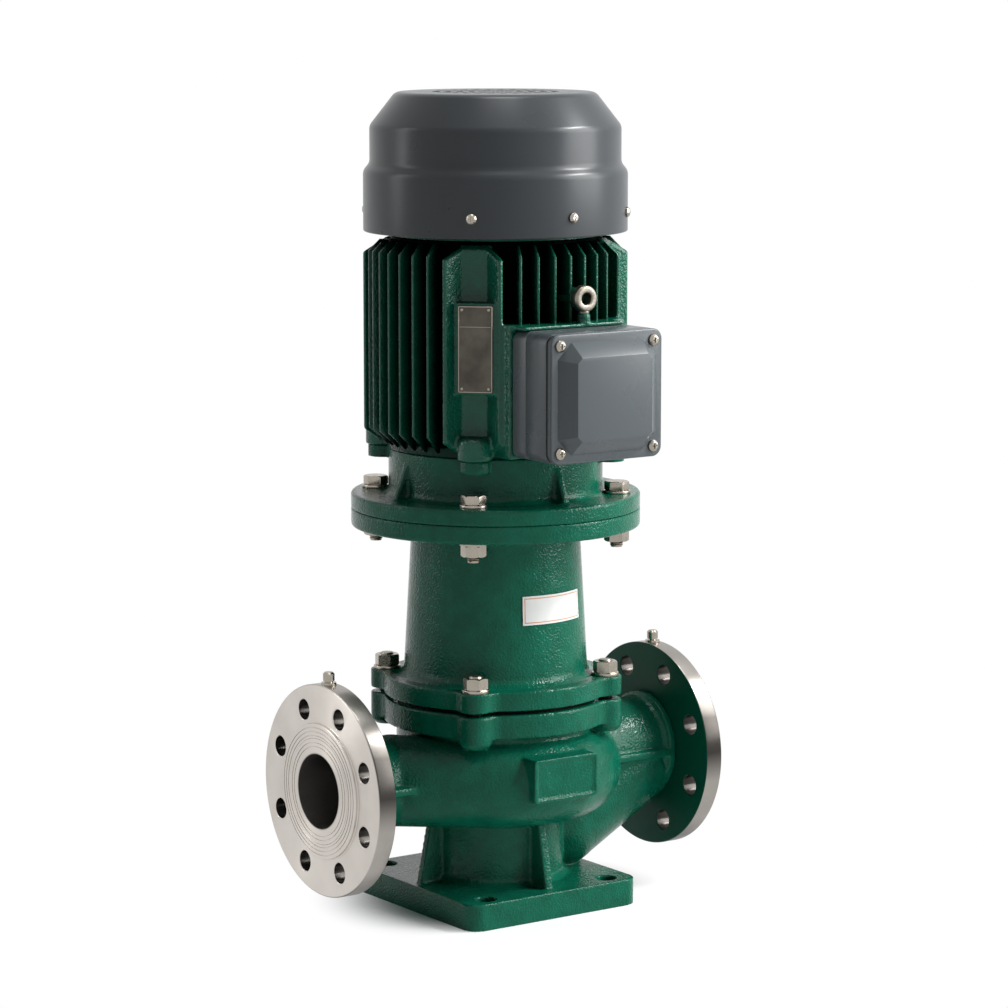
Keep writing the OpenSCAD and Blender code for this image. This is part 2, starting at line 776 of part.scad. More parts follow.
// Motor frame: a barrel with radial fins, four grooved panels with bolt lugs, and the box's pad
fin_low_z = frame_z + 4;
fin_high_z = frame_top_z - 3;
fin_low_chamfer = 15;
fin_high_chamfer = 11;
module fin() {
    rotate([90, 0, 0]) linear_extrude(fin_t, center = true)
        polygon([
            [frame_r - 2, fin_low_z],
            [frame_r + 3, fin_low_z],
            [fin_r, fin_low_z + fin_low_chamfer],
            [fin_r, fin_high_z - fin_high_chamfer],
            [frame_r + 6, fin_high_z],
            [frame_r - 2, fin_high_z]
        ]);
}

panel_half_w = 26.5;
panel_floor_r = 100;
panel_floor_w = 10.5;
wing_t = 3;
module panel_section() {
    polygon([
        [frame_r - 5, -panel_floor_w - 4],
        [panel_floor_r - 3, -panel_floor_w - 2.5],
        [fin_r - 1, -panel_half_w],
        [fin_r + 1.5, -panel_half_w + wing_t],
        [panel_floor_r, -panel_floor_w],
        [panel_floor_r, panel_floor_w],
        [fin_r + 1.5, panel_half_w - wing_t],
        [fin_r - 1, panel_half_w],
        [panel_floor_r - 3, panel_floor_w + 2.5],
        [frame_r - 5, panel_floor_w + 4]
    ]);
}

module panel() {
    intersection() {
        translate([0, 0, fin_low_z]) linear_extrude(fin_high_z - fin_low_z) panel_section();
        rotate([90, 0, 0]) linear_extrude(80, center = true)
            polygon([
                [frame_r - 8, fin_low_z],
                [frame_r + 6, fin_low_z],
                [fin_r + 4, fin_low_z + fin_low_chamfer],
                [fin_r + 4, fin_high_z - fin_high_chamfer - 4],
                [frame_r + 3, fin_high_z],
                [frame_r - 8, fin_high_z]
            ]);
    }
}

nameplate_w = 30;
nameplate_h = 74;
nameplate_t = 1.5;
nameplate_z = frame_z + 59;
nameplate_pad_r = 111.5;
nameplate_angle = 225;
nameplate_shift = 2.7;
module nameplate_pad() {
    rotate(nameplate_angle)
        translate([panel_floor_r - 3, nameplate_shift - nameplate_w / 2 - 2, nameplate_z - 2])
        cube([nameplate_pad_r - panel_floor_r + 3, nameplate_w + 4, nameplate_h + 4]);
}

module motor_nameplate() {
    color(STEEL) rotate(nameplate_angle)
        translate([nameplate_pad_r, nameplate_shift, nameplate_z + nameplate_h / 2])
            rotate([0, 90, 0]) round_plate(nameplate_h, nameplate_w, nameplate_t, 1.5);
}

eye_x = 8;
eye_y = 119;
eye_z = box_z + box_h + 24;
eye_outer_r = 11.5;
eye_hole_r = 4.9;
eye_width = 10;
eye_boss_r = 5.6;
eye_boss_h = 11;
eye_shank_r = 3.5;
eye_shank_h = 10.5;
ledge_z = box_z + box_h + 0.4;
ledge_t = 3;
ledge_y = box_face_y + seat_depth - 3;
// Cast seat for the terminal box, with a ledge over it that carries the eyebolt's boss
module box_pad() {
    translate([-box_w / 2 - 2, -box_face_y, box_z - 1])
        cube([box_w + 4, box_face_y - frame_r * 0.72, ledge_z + ledge_t - box_z + 1]);
    translate([-box_w / 2 + 1, -ledge_y, ledge_z])
        cube([box_w - 11, ledge_y - frame_r * 0.72, ledge_t]);
    translate([eye_x, -eye_y, ledge_z]) cylinder(h = eye_boss_h, r = eye_boss_r);
    translate([eye_x - 1, -frame_r + 6, eye_z]) rotate([90, 0, 0])
        cylinder(h = eye_y - eye_width / 2 - 0.3 - frame_r + 6, r = 9);
}

module motor_frame() {
    side = (fins_per_side - 1) / 2;
    color(CAST) difference() {
        union() {
            translate([0, 0, frame_z]) cylinder(h = frame_length, r = frame_r);
            translate([0, 0, frame_z]) cylinder(h = 9, r = frame_r + 3);
            for (a = axes4, i = [-side:side]) rotate(a + i * fin_pitch) fin();
            for (a = diagonals) rotate(a) {
                panel();
                translate([lug_pitch_r, 0, frame_z]) {
                    cylinder(h = lug_h - 3, r = lug_r);
                    translate([0, 0, lug_h - 3]) cylinder(h = 3, r1 = lug_r, r2 = lug_r - 3);
                }
            }
            nameplate_pad();
            box_pad();
        }
        translate([-box_w / 2 - 3, -box_face_y - 20, box_z - 2]) cube([box_w + 6, 20, ledge_z - box_z + 2]);
        translate([0, 0, frame_z - cut]) cylinder(h = frame_length + 2 * cut, r = frame_bore_r);
        for (a = diagonals) rotate(a) {
            translate([lug_pitch_r, 0, frame_z - cut]) cylinder(h = lug_h - 6 + cut, r = lug_screw_r + fit_gap);
            translate([rear_screw_pitch_r, 0, frame_top_z - 18]) cylinder(h = 18 + cut, r = rear_screw_r + fit_gap);
        }
        translate([eye_x, -eye_y, ledge_z + eye_boss_h - eye_shank_h])
            cylinder(h = eye_shank_h + cut, r = eye_shank_r + fit_gap);
        translate([0, -frame_bore_r + 10, box_mid_z]) rotate([90, 0, 0]) cylinder(h = 40, r = 14);
    }
}

// Cap screws from below hold the frame on the shield, with their heads sunk in the shield's lugs
module frame_screws() {
    head_z = frame_z - shield_lug_h + lug_head_inset;
    color(CAST) for (a = diagonals) rotate(a) translate([lug_pitch_r, 0, head_z]) {
        cylinder(h = lug_head_h, r = lug_head_r);
        cylinder(h = frame_z + lug_h - 7 - head_z, r = lug_screw_r);
    }
}

// Wound core
module stator_core() {
    slots = 24;
    color(DARK_STEEL) translate([0, 0, core_z]) difference() {
        ring(frame_bore_r - fit_gap, stator_bore_r, core_h);
        for (i = [0:slots - 1]) rotate(i * 360 / slots)
            translate([stator_bore_r - 2, -2, -cut]) cube([5, 4, core_h + 2 * cut]);
    }
}

module stator_windings() {
    head_h = 22;
    inner = stator_bore_r + 6;
    outer = frame_bore_r - 5;
    color(COPPER) for (side = [0, 1])
        translate([0, 0, side ? core_z + core_h : core_z - head_h]) rotate_extrude()
            polygon([
                [inner, 0], [outer - 3, 0], [outer, 4], [outer, head_h - 4],
                [outer - 3, head_h], [inner, head_h], [inner - 2, head_h - 4], [inner - 2, 4]
            ]);
}

// Rear end shield: upper bearing's housing and the ears that carry the fan cowl
rear_screw_pitch_r = 88;
rear_screw_r = 2.5;
rear_plate_t = 8;
ear_w = 14;
ear_h = 20;
module rear_end_shield() {
    bearing_top = rear_bearing_z + bearing_w;
    color(CAST) difference() {
        union() {
            rotate_extrude() polygon([
                [bearing_r + fit_gap, frame_top_z - register_h - 2],
                [frame_bore_r - fit_gap, frame_top_z - register_h],
                [frame_bore_r - fit_gap, frame_top_z],
                [frame_r + 1, frame_top_z],
                [frame_r + 1, frame_top_z + rear_plate_t],
                [hub_r + 6, frame_top_z + rear_plate_t + 3],
                [hub_r, bearing_top + 6],
                [journal_r + 2, bearing_top + 6],
                [journal_r + 2, bearing_top + 2.5],
                [bearing_r + fit_gap, bearing_top + 2.5]
            ]);
            for (a = cowl_screw_angles) rotate(a)
                translate([frame_r - 22, -ear_w / 2, frame_top_z + rear_plate_t - 5])
                    cube([cowl_r - cowl_t - cowl_ear_gap - frame_r + 22, ear_w, ear_h]);
        }
        for (a = cowl_screw_angles) rotate(a) translate([cowl_r - 20, 0, cowl_screw_z]) rotate([0, 90, 0])
            cylinder(h = 20, r = cowl_screw_r + fit_gap);
        for (a = diagonals) rotate(a) translate([rear_screw_pitch_r, 0, frame_top_z - register_h - cut])
            cylinder(h = 40, r = rear_screw_r + fit_gap);
        for (a = diagonals) rotate(a) translate([rear_screw_pitch_r, 0, frame_top_z + rear_plate_t])
            cylinder(h = 40, r = rear_head_r + 0.5);
    }
}

rear_head_r = 5;
module rear_shield_screws() {
    color(STEEL) for (a = diagonals) rotate(a) translate([rear_screw_pitch_r, 0, frame_top_z + rear_plate_t]) {
        cylinder(h = 4, r = rear_head_r);
        translate([0, 0, -rear_plate_t - 16]) cylinder(h = rear_plate_t + 16 + cut, r = rear_screw_r);
    }
}

module fan_cowl() {
    color(GREY) difference() {
        rotate_extrude() polygon([
            [cowl_r, cowl_z],
            [cowl_r, cowl_step_z],
            [cowl_waist_r, cowl_step_z + cowl_step_h],
            [cowl_waist_r, cowl_shoulder_z],
            [cowl_crown_r, cowl_top_z],
            [grille_r, cowl_top_z],
            [grille_r, cowl_top_z - cowl_t],
            [cowl_crown_r - 0.6, cowl_top_z - cowl_t],
            [cowl_waist_r - cowl_t, cowl_shoulder_z - 0.6],
            [cowl_waist_r - cowl_t, cowl_step_z + cowl_step_h - 0.6],
            [cowl_r - cowl_t, cowl_step_z - 0.6],
            [cowl_r - cowl_t, cowl_z]
        ]);
        for (a = cowl_screw_angles) rotate(a) translate([cowl_r - 10, 0, cowl_screw_z]) rotate([0, 90, 0])
            cylinder(h = 20, r = cowl_screw_r + 0.4);
    }
}

// The inlet disc has rings of round holes
grille_hole_r = 3.6;
grille_pitch = 10;
module fan_grille() {
    color(GREY) translate([0, 0, cowl_top_z - cowl_t]) linear_extrude(cowl_t) difference() {
        circle(grille_r - 0.1);
        circle(grille_hole_r);
        for (ringno = [1:5]) {
            count = 6 * ringno;
            for (i = [0:count - 1]) rotate(360 * (i + 0.25 * ringno) / count)
                translate([ringno * grille_pitch + 2, 0]) circle(grille_hole_r);
        }
    }
}

cowl_screw_r = 2.5;
module cowl_screws() {
    color(STEEL) for (a = cowl_screw_angles) rotate(a) translate([cowl_r, 0, cowl_screw_z]) rotate([0, 90, 0]) {
        cylinder(h = 1.2, r = 4.5);
        translate([0, 0, 1.2]) cylinder(h = 1.8, r1 = 4.5, r2 = 3);
        translate([0, 0, -14]) cylinder(h = 14 + 0.5, r = cowl_screw_r);
    }
}

// Eyebolt with a thick ring whose hole faces the same way as the terminal box
module lifting_eye() {
    collar_z = ledge_z + eye_boss_h;
    color(STEEL) difference() {
        translate([eye_x, -eye_y, 0]) {
            translate([0, 0, collar_z - eye_shank_h + 0.5]) cylinder(h = eye_shank_h + 3, r = eye_shank_r);
            translate([0, 0, collar_z]) cylinder(h = 3, r = eye_boss_r - 0.9);
            translate([0, eye_width / 2, eye_z]) rotate([90, 0, 0]) {
                cylinder(h = 1.5, r1 = eye_outer_r - 1.5, r2 = eye_outer_r);
                translate([0, 0, 1.5]) cylinder(h = eye_width - 3, r = eye_outer_r);
                translate([0, 0, eye_width - 1.5]) cylinder(h = 1.5, r1 = eye_outer_r, r2 = eye_outer_r - 1.5);
            }
        }
        translate([eye_x, -eye_y + eye_width, eye_z]) rotate([90, 0, 0])
            cylinder(h = 2 * eye_width, r = eye_hole_r);
        translate([eye_x, -eye_y - eye_width / 2 + 1.2, eye_z]) rotate([90, 0, 0])
            cylinder(h = 1.3, r1 = eye_hole_r, r2 = eye_hole_r + 1.3);
    }
}

// A bare film label that follows the barrel's taper
label_turn = 49;
label_mid_angle = 277;
label_h = 25;
label_z = 259;
label_t = 0.6;
module lantern_label() {
    slope = (barrel_foot_r - barrel_head_r) / (lantern_head_z - 8 - lantern_foot_z - 7);
    low_r = barrel_foot_r - slope * (label_z - lantern_foot_z - 7) + 0.25;
    high_r = low_r - slope * label_h;
    color("#e9e4da") rotate(label_mid_angle - label_turn / 2) rotate_extrude(angle = label_turn)
        polygon([
            [low_r, label_z], [low_r + label_t, label_z],
            [high_r + label_t, label_z + label_h], [high_r, label_z + label_h]
        ]);
}

// Terminal box, from the motor outwards: seat, body, gasket and lid
module box_shell(depth, floor_t) {
    difference() {
        round_plate(box_w, box_h, depth, box_corner_r);
        translate([0, 0, floor_t ? floor_t : -cut])
            box_inside(depth + 2 * cut);
    }
}

module box_inside(depth) {
    round_plate(box_w - 2 * box_wall, box_h - 2 * box_wall, depth, box_corner_r - box_wall + 1);
}

module at_lid_screws() {
    for (x = [-1, 1], z = [-1, 1])
        translate([x * (box_w / 2 - lid_screw_inset), z * (box_h / 2 - lid_screw_inset), 0]) children();
}

module terminal_box_seat() {
    color(GREY) towards_box(box_face_y) difference() {
        box_shell(seat_depth, box_wall);
        translate([0, 0, -cut]) cylinder(h = box_wall + 2 * cut, r = 14);
    }
}

module terminal_box() {
    color(GREY) difference() {
        towards_box(box_joint_y) {
            box_shell(box_depth, 0);
            intersection() {
                at_lid_screws() cylinder(h = box_depth, r = 6);
                round_plate(box_w - 1, box_h - 1, box_depth, box_corner_r);
            }
        }
        translate([0, -box_entry_y, box_z - cut]) cylinder(h = box_wall + 2 * cut, r = cable_entry_r);
        towards_box(box_joint_y) at_lid_screws() translate([0, 0, box_depth - 14])
            cylinder(h = 14 + cut, r = lid_screw_r + fit_gap);
    }
}

module terminal_box_gasket() {
    color(BLACK) towards_box(box_front_y) difference() {
        round_plate(box_w - 1.5, box_h - 1.5, box_gasket_t, box_corner_r - 0.75);
        translate([0, 0, -cut]) box_inside(box_gasket_t + 2 * cut);
        at_lid_screws() translate([0, 0, -cut]) cylinder(h = box_gasket_t + 2 * cut, r = lid_screw_r + 0.5);
    }
}

// An eight-sided frustum whose sides slope in to a flat top
function cut_corners(w, h, c) = [
    [-w / 2 + c, -h / 2], [w / 2 - c, -h / 2], [w / 2, -h / 2 + c], [w / 2, h / 2 - c],
    [w / 2 - c, h / 2], [-w / 2 + c, h / 2], [-w / 2, h / 2 - c], [-w / 2, -h / 2 + c]
];
module faceted_dome(w, h, corner, top_w, top_h, top_corner, rise) {
    low = cut_corners(w, h, corner);
    high = cut_corners(top_w, top_h, top_corner);
    points = concat([for (p = low) [p[0], p[1], 0]], [for (p = high) [p[0], p[1], rise]]);
    polyhedron(points, concat(
        [[0, 1, 2, 3, 4, 5, 6, 7], [15, 14, 13, 12, 11, 10, 9, 8]],
        [for (i = [0:7]) [8 + i, 8 + (i + 1) % 8, (i + 1) % 8, i]]
    ));
}

module terminal_box_lid() {
    dome_w = box_w - 2 * lid_dome_margin;
    dome_h = box_h - 2 * lid_dome_margin;
    top_w = dome_w - 2 * lid_dome_slope;
    top_h = dome_h - 2 * lid_dome_slope;
    color(GREY) towards_box(lid_back_y) difference() {
        union() {
            round_plate(box_w, box_h, lid_t, box_corner_r);
            translate([0, 0, lid_t - 0.01])
                faceted_dome(dome_w, dome_h, 14, top_w, top_h, 4.5, lid_dome_h);
        }
        translate([0, 0, -cut]) round_plate(dome_w - 12, dome_h - 12, lid_t + cut, 12);
        at_lid_screws() translate([0, 0, -cut]) cylinder(h = lid_t + 2 * cut, r = lid_screw_r + 0.4);
    }
}

module lid_screws() {
    color(STEEL) towards_box(lid_front_y) at_lid_screws() {
        cylinder(h = 1.6, r = 5);
        translate([0, 0, 1.6]) cylinder(h = 1.8, r1 = 5, r2 = 3.2);
        translate([0, 0, -lid_t - box_gasket_t - 10]) cylinder(h = lid_t + box_gasket_t + 10.5, r = lid_screw_r);
    }
}

block_w = 66;
block_h = 26;
block_d = 12;
module terminal_block() {
    color(BLACK) towards_box(box_face_y + box_wall) difference() {
        translate([0, 26, 0]) round_plate(block_w, block_h, block_d, 2);
        at_terminals() translate([0, 0, block_d - 6]) cylinder(h = 6 + cut, r = 2.5 + fit_gap);
    }
}

module at_terminals() {
    for (x = [-1:1], z = [-1, 1]) translate([x * 21, 26 + z * 7, 0]) children();
}

module terminal_studs() {
    color(BRASS) towards_box(box_face_y + box_wall) at_terminals() translate([0, 0, block_d]) {
        translate([0, 0, -5]) cylinder(h = 21, r = 2.5);
        cylinder(h = 4, r = 4.6, $fn = 6);
    }
}

// Bearings, with true grooves for their balls
module bearing_ring(outer, inner) {
    difference() {
        ring(outer, inner, bearing_w);
        translate([0, 0, bearing_w / 2]) rotate_extrude() translate([ball_pitch_r, 0]) circle(race_r);
    }
}

module bearing_outer_ring(z) {
    color(STEEL) translate([0, 0, z]) bearing_ring(bearing_r, bearing_r - ring_wall);
}

module bearing_inner_ring(z) {
    color(STEEL) translate([0, 0, z]) bearing_ring(journal_r + ring_wall, journal_r + 0.02);
}

module at_balls() {
    for (i = [0:ball_count - 1]) rotate(i * 360 / ball_count) translate([ball_pitch_r, 0, 0]) children();
}

module bearing_balls(z) {
    color(STEEL) translate([0, 0, z + bearing_w / 2]) at_balls() sphere(ball_r);
}

module bearing_cage(z) {
    cage_h = 15;
    color(BRASS) translate([0, 0, z + (bearing_w - cage_h) / 2]) difference() {
        ring(ball_pitch_r + 1.2, ball_pitch_r - 1.2, cage_h);
        translate([0, 0, cage_h / 2]) at_balls() rotate([0, 90, 0]) cylinder(h = 6, r = ball_r + 0.1, center = true);
    }
}

module drive_bearing_outer_ring() bearing_outer_ring(drive_bearing_z);
module rear_bearing_outer_ring() bearing_outer_ring(rear_bearing_z);
module drive_bearing_inner_ring() bearing_inner_ring(drive_bearing_z);
module rear_bearing_inner_ring() bearing_inner_ring(rear_bearing_z);
module drive_bearing_balls() bearing_balls(drive_bearing_z);
module rear_bearing_balls() bearing_balls(rear_bearing_z);
module drive_bearing_cage() bearing_cage(drive_bearing_z);
module rear_bearing_cage() bearing_cage(rear_bearing_z);

module bearing_preload_spring() {
    color(STEEL) translate([0, 0, rear_bearing_z + bearing_w]) ring(bearing_r - 0.5, bearing_r - 4, 2.5);
}

// One shaft carries the rotor, the fan above and the impeller below
key_w = 6;
key_l = 24;
nut_h = 13;
module motor_shaft() {
    color(STEEL) difference() {
        rotate_extrude() polygon([
            [0, impeller_hub_z - nut_h],
            [7, impeller_hub_z - nut_h],
            [8, impeller_hub_z - nut_h + 1],
            [8, impeller_hub_z],
            [shaft_nose_r, impeller_hub_z],
            [shaft_nose_r, impeller_hub_top_z],
            [shaft_nose_r + 0.5, impeller_hub_top_z],
            [shaft_nose_r + 0.5, seat_z + 9],
            [shaft_r, seat_z + 9 + 1.5],
            [shaft_r, drive_bearing_z - 2],
            [journal_r, drive_bearing_z - 1],
            [journal_r, drive_bearing_z + bearing_w],
            [journal_r + 4, drive_bearing_z + bearing_w],
            [journal_r + 4, core_z - 20],
            [journal_r + 6, core_z - 18],
            [journal_r + 6, core_z + core_h + 6],
            [journal_r + 4, core_z + core_h + 8],
            [journal_r + 4, rear_bearing_z],
            [journal_r, rear_bearing_z],
            [journal_r, rear_bearing_z + bearing_w + 1],
            [fan_seat_r + 1, rear_bearing_z + bearing_w + 4],
            [fan_seat_r + 1, fan_z - 6],
            [fan_seat_r, fan_z - 6],
            [fan_seat_r, fan_z + fan_hub_h - 6 + 0.2],
            [fan_seat_r - 1, fan_z + fan_hub_h - 6 + 0.2],
            [fan_seat_r - 1, fan_z + fan_hub_h - 6 + 1.8],
            [fan_seat_r, fan_z + fan_hub_h - 6 + 1.8],
            [fan_seat_r, shaft_top_z - 1],
            [fan_seat_r - 1, shaft_top_z],
            [0, shaft_top_z]
        ]);
        translate([shaft_nose_r - 3.5, -key_w / 2, impeller_hub_z + 8]) cube([6, key_w, key_l]);
    }
}

module impeller_key() {
    color(DARK_STEEL) translate([shaft_nose_r - 3.4, -key_w / 2 + 0.05, impeller_hub_z + 8.1])
        cube([6.2, key_w - 0.1, key_l - 0.2]);
}

module rotor_core() {
    color(DARK_STEEL) {
        translate([0, 0, core_z]) ring(rotor_r, journal_r + 6 + 0.05, core_h);
        for (z = [core_z - 10, core_z + core_h]) translate([0, 0, z]) ring(rotor_r - 2, 32, 10);
    }
}

// Closed impeller: lower shroud with the eye, backward curved vanes, upper shroud and hub
shroud_t = 4;
vane_t = 4;
vane_wrap = 70;
vane_inner_r = 36;
lower_shroud_z = port_height - 4;
upper_shroud_z = lower_shroud_z + shroud_t + impeller_gap;
module vane_outline() {
    steps = 10;
    function line_r(u) = vane_inner_r + (impeller_r - 1 - vane_inner_r) * u;
    function line_a(u) = vane_wrap * (1 - pow(1 - u, 1.6));
    outer = [for (i = [0:steps]) let (u = i / steps, r = line_r(u)) r * [cos(line_a(u)), sin(line_a(u))]];
    inner = [
        for (i = [steps:-1:0])
            let (u = i / steps, r = line_r(u), a = line_a(u) + vane_t / r * 180 / PI)
            r * [cos(a), sin(a)]
    ];
    polygon(concat(outer, inner));
}

module impeller() {
    color(STEEL) difference() {
        union() {
            translate([0, 0, lower_shroud_z]) ring(impeller_r, eye_r, shroud_t);
            translate([0, 0, chamber_floor_z - 14])
                ring(eye_ring_r, eye_r, lower_shroud_z - chamber_floor_z + 14 + cut);
            translate([0, 0, lower_shroud_z + shroud_t - cut / 2]) for (i = [0:impeller_vanes - 1])
                rotate(i * 360 / impeller_vanes) linear_extrude(impeller_gap + cut) vane_outline();
            translate([0, 0, upper_shroud_z]) cylinder(h = shroud_t, r = impeller_r);
            translate([0, 0, impeller_hub_z]) cylinder(h = impeller_hub_top_z - impeller_hub_z, r = 20);
            translate([0, 0, upper_shroud_z - 8]) cylinder(h = 8 + cut, r1 = 20, r2 = 30);
        }
        translate([0, 0, impeller_hub_z - cut]) cylinder(h = 60, r = shaft_nose_r + 0.02);
        translate([shaft_nose_r - 3.5, -key_w / 2, impeller_hub_z - cut]) cube([6.4, key_w, 60]);
    }
}

module impeller_nut() {
    color(STEEL) translate([0, 0, impeller_hub_z - nut_h]) hex_nut(13.8, 8 + fit_gap, nut_h);
}

module slinger_ring() {
    color(BLACK) translate([0, 0, lantern_foot_z]) difference() {
        union() {
            ring(20, shaft_r + 0.02, 9);
            cylinder(h = 3, r = shaft_r + 13);
        }
        translate([0, 0, -cut]) cylinder(h = 20, r = shaft_r + 0.02);
    }
}

// Radial fan, held by a circlip
module cooling_fan() {
    color(BLACK) difference() {
        union() {
            translate([0, 0, fan_z - 6]) cylinder(h = fan_hub_h, r = fan_hub_r);
            translate([0, 0, fan_z]) cylinder(h = 3, r = fan_r);
            for (i = [0:fan_blades - 1]) rotate(i * 360 / fan_blades) rotate([90, 0, 0])
                linear_extrude(2.5, center = true)
                    polygon([
                        [fan_hub_r - 3, fan_z + 2], [fan_r, fan_z + 2], [fan_r, fan_z + fan_blade_h - 8],
                        [fan_r - 8, fan_z + fan_blade_h], [fan_r - 30, fan_z + fan_blade_h],
                        [fan_hub_r - 3, fan_z + fan_hub_h - 9]
                    ]);
        }
        translate([0, 0, fan_z - 6 - cut]) cylinder(h = 60, r = fan_seat_r + 0.02);
    }
}

module fan_circlip() {
    color(STEEL) translate([0, 0, fan_z + fan_hub_h - 6 + 0.3]) ring(fan_seat_r + 3, fan_seat_r - 1 + 0.05, 1.4);
}

pump_casing();
suction_flange();
discharge_flange();
suction_sleeve();
discharge_sleeve();
suction_gauge_plug();
discharge_gauge_plug();
eye_wear_ring();
casing_gasket();
seal_plate();
seal_seat();
lantern();
cover_studs();
cover_washers();
cover_nuts();
drive_end_shield();
flange_bolts();
flange_washers();
flange_nuts();
shaft_lip_seal();
motor_frame();
frame_screws();
stator_core();
stator_windings();
rear_end_shield();
rear_shield_screws();
fan_cowl();
fan_grille();
cowl_screws();
lifting_eye();
motor_nameplate();
lantern_label();
terminal_box_seat();
terminal_box();
terminal_box_gasket();
terminal_box_lid();
lid_screws();
terminal_block();
terminal_studs();
drive_bearing_outer_ring();
rear_bearing_outer_ring();
bearing_preload_spring();
motor_shaft();
rotor_core();
impeller();
impeller_key();
impeller_nut();
seal_face_ring();
seal_spring();
seal_collar();
slinger_ring();
drive_bearing_inner_ring();
rear_bearing_inner_ring();
cooling_fan();
fan_circlip();
drive_bearing_balls();
drive_bearing_cage();
rear_bearing_balls();
rear_bearing_cage();
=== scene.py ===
"""Looks of a lined in-line pump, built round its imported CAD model. Lengths are in metres."""

import math

import bmesh
import bpy
from bpy.props import FloatProperty, FloatVectorProperty, IntProperty, PointerProperty
from mathutils import Matrix, Vector


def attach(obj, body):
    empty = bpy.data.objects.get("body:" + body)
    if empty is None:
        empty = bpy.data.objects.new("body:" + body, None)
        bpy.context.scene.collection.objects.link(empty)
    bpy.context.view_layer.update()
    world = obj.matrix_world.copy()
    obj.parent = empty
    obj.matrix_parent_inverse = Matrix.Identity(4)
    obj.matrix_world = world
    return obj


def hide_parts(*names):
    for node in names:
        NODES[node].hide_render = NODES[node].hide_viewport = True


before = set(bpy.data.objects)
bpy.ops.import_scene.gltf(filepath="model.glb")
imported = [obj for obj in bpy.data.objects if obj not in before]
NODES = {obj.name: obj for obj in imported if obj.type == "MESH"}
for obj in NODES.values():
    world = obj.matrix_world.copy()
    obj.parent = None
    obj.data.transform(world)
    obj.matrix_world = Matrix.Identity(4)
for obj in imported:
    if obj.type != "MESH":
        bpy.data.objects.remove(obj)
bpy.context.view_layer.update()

bl_info = {
    "name": "Lined in-line pump",
    "version": (1, 0, 0),
    "blender": (4, 5, 0),
    "location": "3D View > Sidebar > Pump",
    "description": "Builds the castings, motor, terminal box and fittings of an in-line pump",
    "category": "Add Mesh",
}

MM = 0.001
# Points that lie closer than this are one point
TOUCHING = 1e-6
# A corner whose half angle is this near to a right angle, in radians, is straight
STRAIGHT = 1e-4
# A casting that is finer than this is thinned
CASTING_TRIANGLES = 180000
# Places that several pieces share, in millimetres
PORT_HEIGHT = 120
FLANGE_BACK = 166
PIPE_BOLT_R = 72.5
COVER_BOLT_R = 98
MOTOR_BOLT_R = 107.5
BOX_MIDDLE = 465
EYEBOLT_X, EYEBOLT_Y, EYEBOLT_Z = 8, -119, 543.5
EYEBOLT_SEAT = 530.9
LID_FACE = 163.4
COWL_R = 115
# Where the nameplate sits round the shaft, in degrees
PLATE_ANGLE = 225


def linear(hex_code):
    """An sRGB hex colour as linear red, green and blue."""
    channels = [int(hex_code[i : i + 2], 16) / 255 for i in (1, 3, 5)]
    return [c / 12.92 if c <= 0.04045 else ((c + 0.055) / 1.055) ** 2.4 for c in channels]


def length(name, description, default, low, high):
    """A size that a user may change, in metres."""
    kind = {"subtype": "DISTANCE", "unit": "LENGTH"}
    return FloatProperty(name=name, description=description, default=default, min=low, max=high, **kind)


def paint(name, description, hex_code):
    """A colour that a user may change."""
    return FloatVectorProperty(
        name=name, description=description, default=linear(hex_code), size=3, min=0, max=1, subtype="COLOR"
    )


class PumpColours(bpy.types.PropertyGroup):
    """Colours of the pump's finishes."""

    enamel: paint("Enamel", "Gloss enamel on the castings", "#0a5642")
    enamel_hollow: paint("Enamel in hollows", "The enamel where it lies thick and dark", "#084d3a")
    box_paint: paint("Box paint", "Satin paint on the terminal box", "#4a5053")
    cowl_paint: paint("Cowl paint", "Satin paint on the fan cowl", "#34383b")
    turned_steel: paint("Turned steel", "Machined faces of the pipe flanges", "#ccc6bf")
    label_line: paint("Label line", "Thin line round the lantern's label", "#b07a5c")


class PumpSizes(bpy.types.PropertyGroup):
    """Sizes of the details that the looks add."""

    casting_grain: length("Casting grain", "Cell in which the castings are rounded", 0.0013, 0.001, 0.004)
    fin_thickness: length("Fin thickness", "Thickness of a cooling fin at its tip", 0.0026, 0.002, 0.004)
    fins_per_bank: IntProperty(
        name="Fins in a bank", description="Fins between two panels", default=7, min=3, max=8
    )
    thread_pitch: length("Thread pitch", "Pitch of the studs' threads", 0.00175, 0.001, 0.003)
    lid_edge: length("Lid edge", "Rounding of the terminal box lid's edges", 0.0016, 0.0005, 0.003)
    cowl_edge: length("Cowl edge", "Rounding of the fan cowl's bends", 0.009, 0.002, 0.01)


# Meshes


def metres(points):
    """Points given in millimetres, in metres."""
    return [tuple(value * MM for value in point) for point in points]


def new_object(shape, name):
    """Puts a shape into the scene as an object."""
    mesh = bpy.data.meshes.new(name)
    shape.to_mesh(mesh)
    shape.free()
    made = bpy.data.objects.new(name, mesh)
    bpy.context.scene.collection.objects.link(made)
    return made


def finish_shape(shape, name):
    """Merges a shape's doubles, turns its faces outward and makes it an object."""
    bmesh.ops.remove_doubles(shape, verts=shape.verts, dist=TOUCHING)
    bmesh.ops.recalc_face_normals(shape, faces=shape.faces)
    return new_object(shape, name)


def settle(obj):
    """Makes an object and its modifiers one plain mesh."""
    graph = bpy.context.evaluated_depsgraph_get()
    mesh = bpy.data.meshes.new_from_object(obj.evaluated_get(graph), depsgraph=graph)
    obj.modifiers.clear()
    obj.data = mesh
    return obj


def shade(obj, angle=None):
    """Shades smoothly, and keeps edges sharper than an angle in degrees if one is given."""
    obj.data.shade_smooth()
    if angle is not None:
        obj.data.set_sharp_from_angle(angle=math.radians(angle))
    return obj


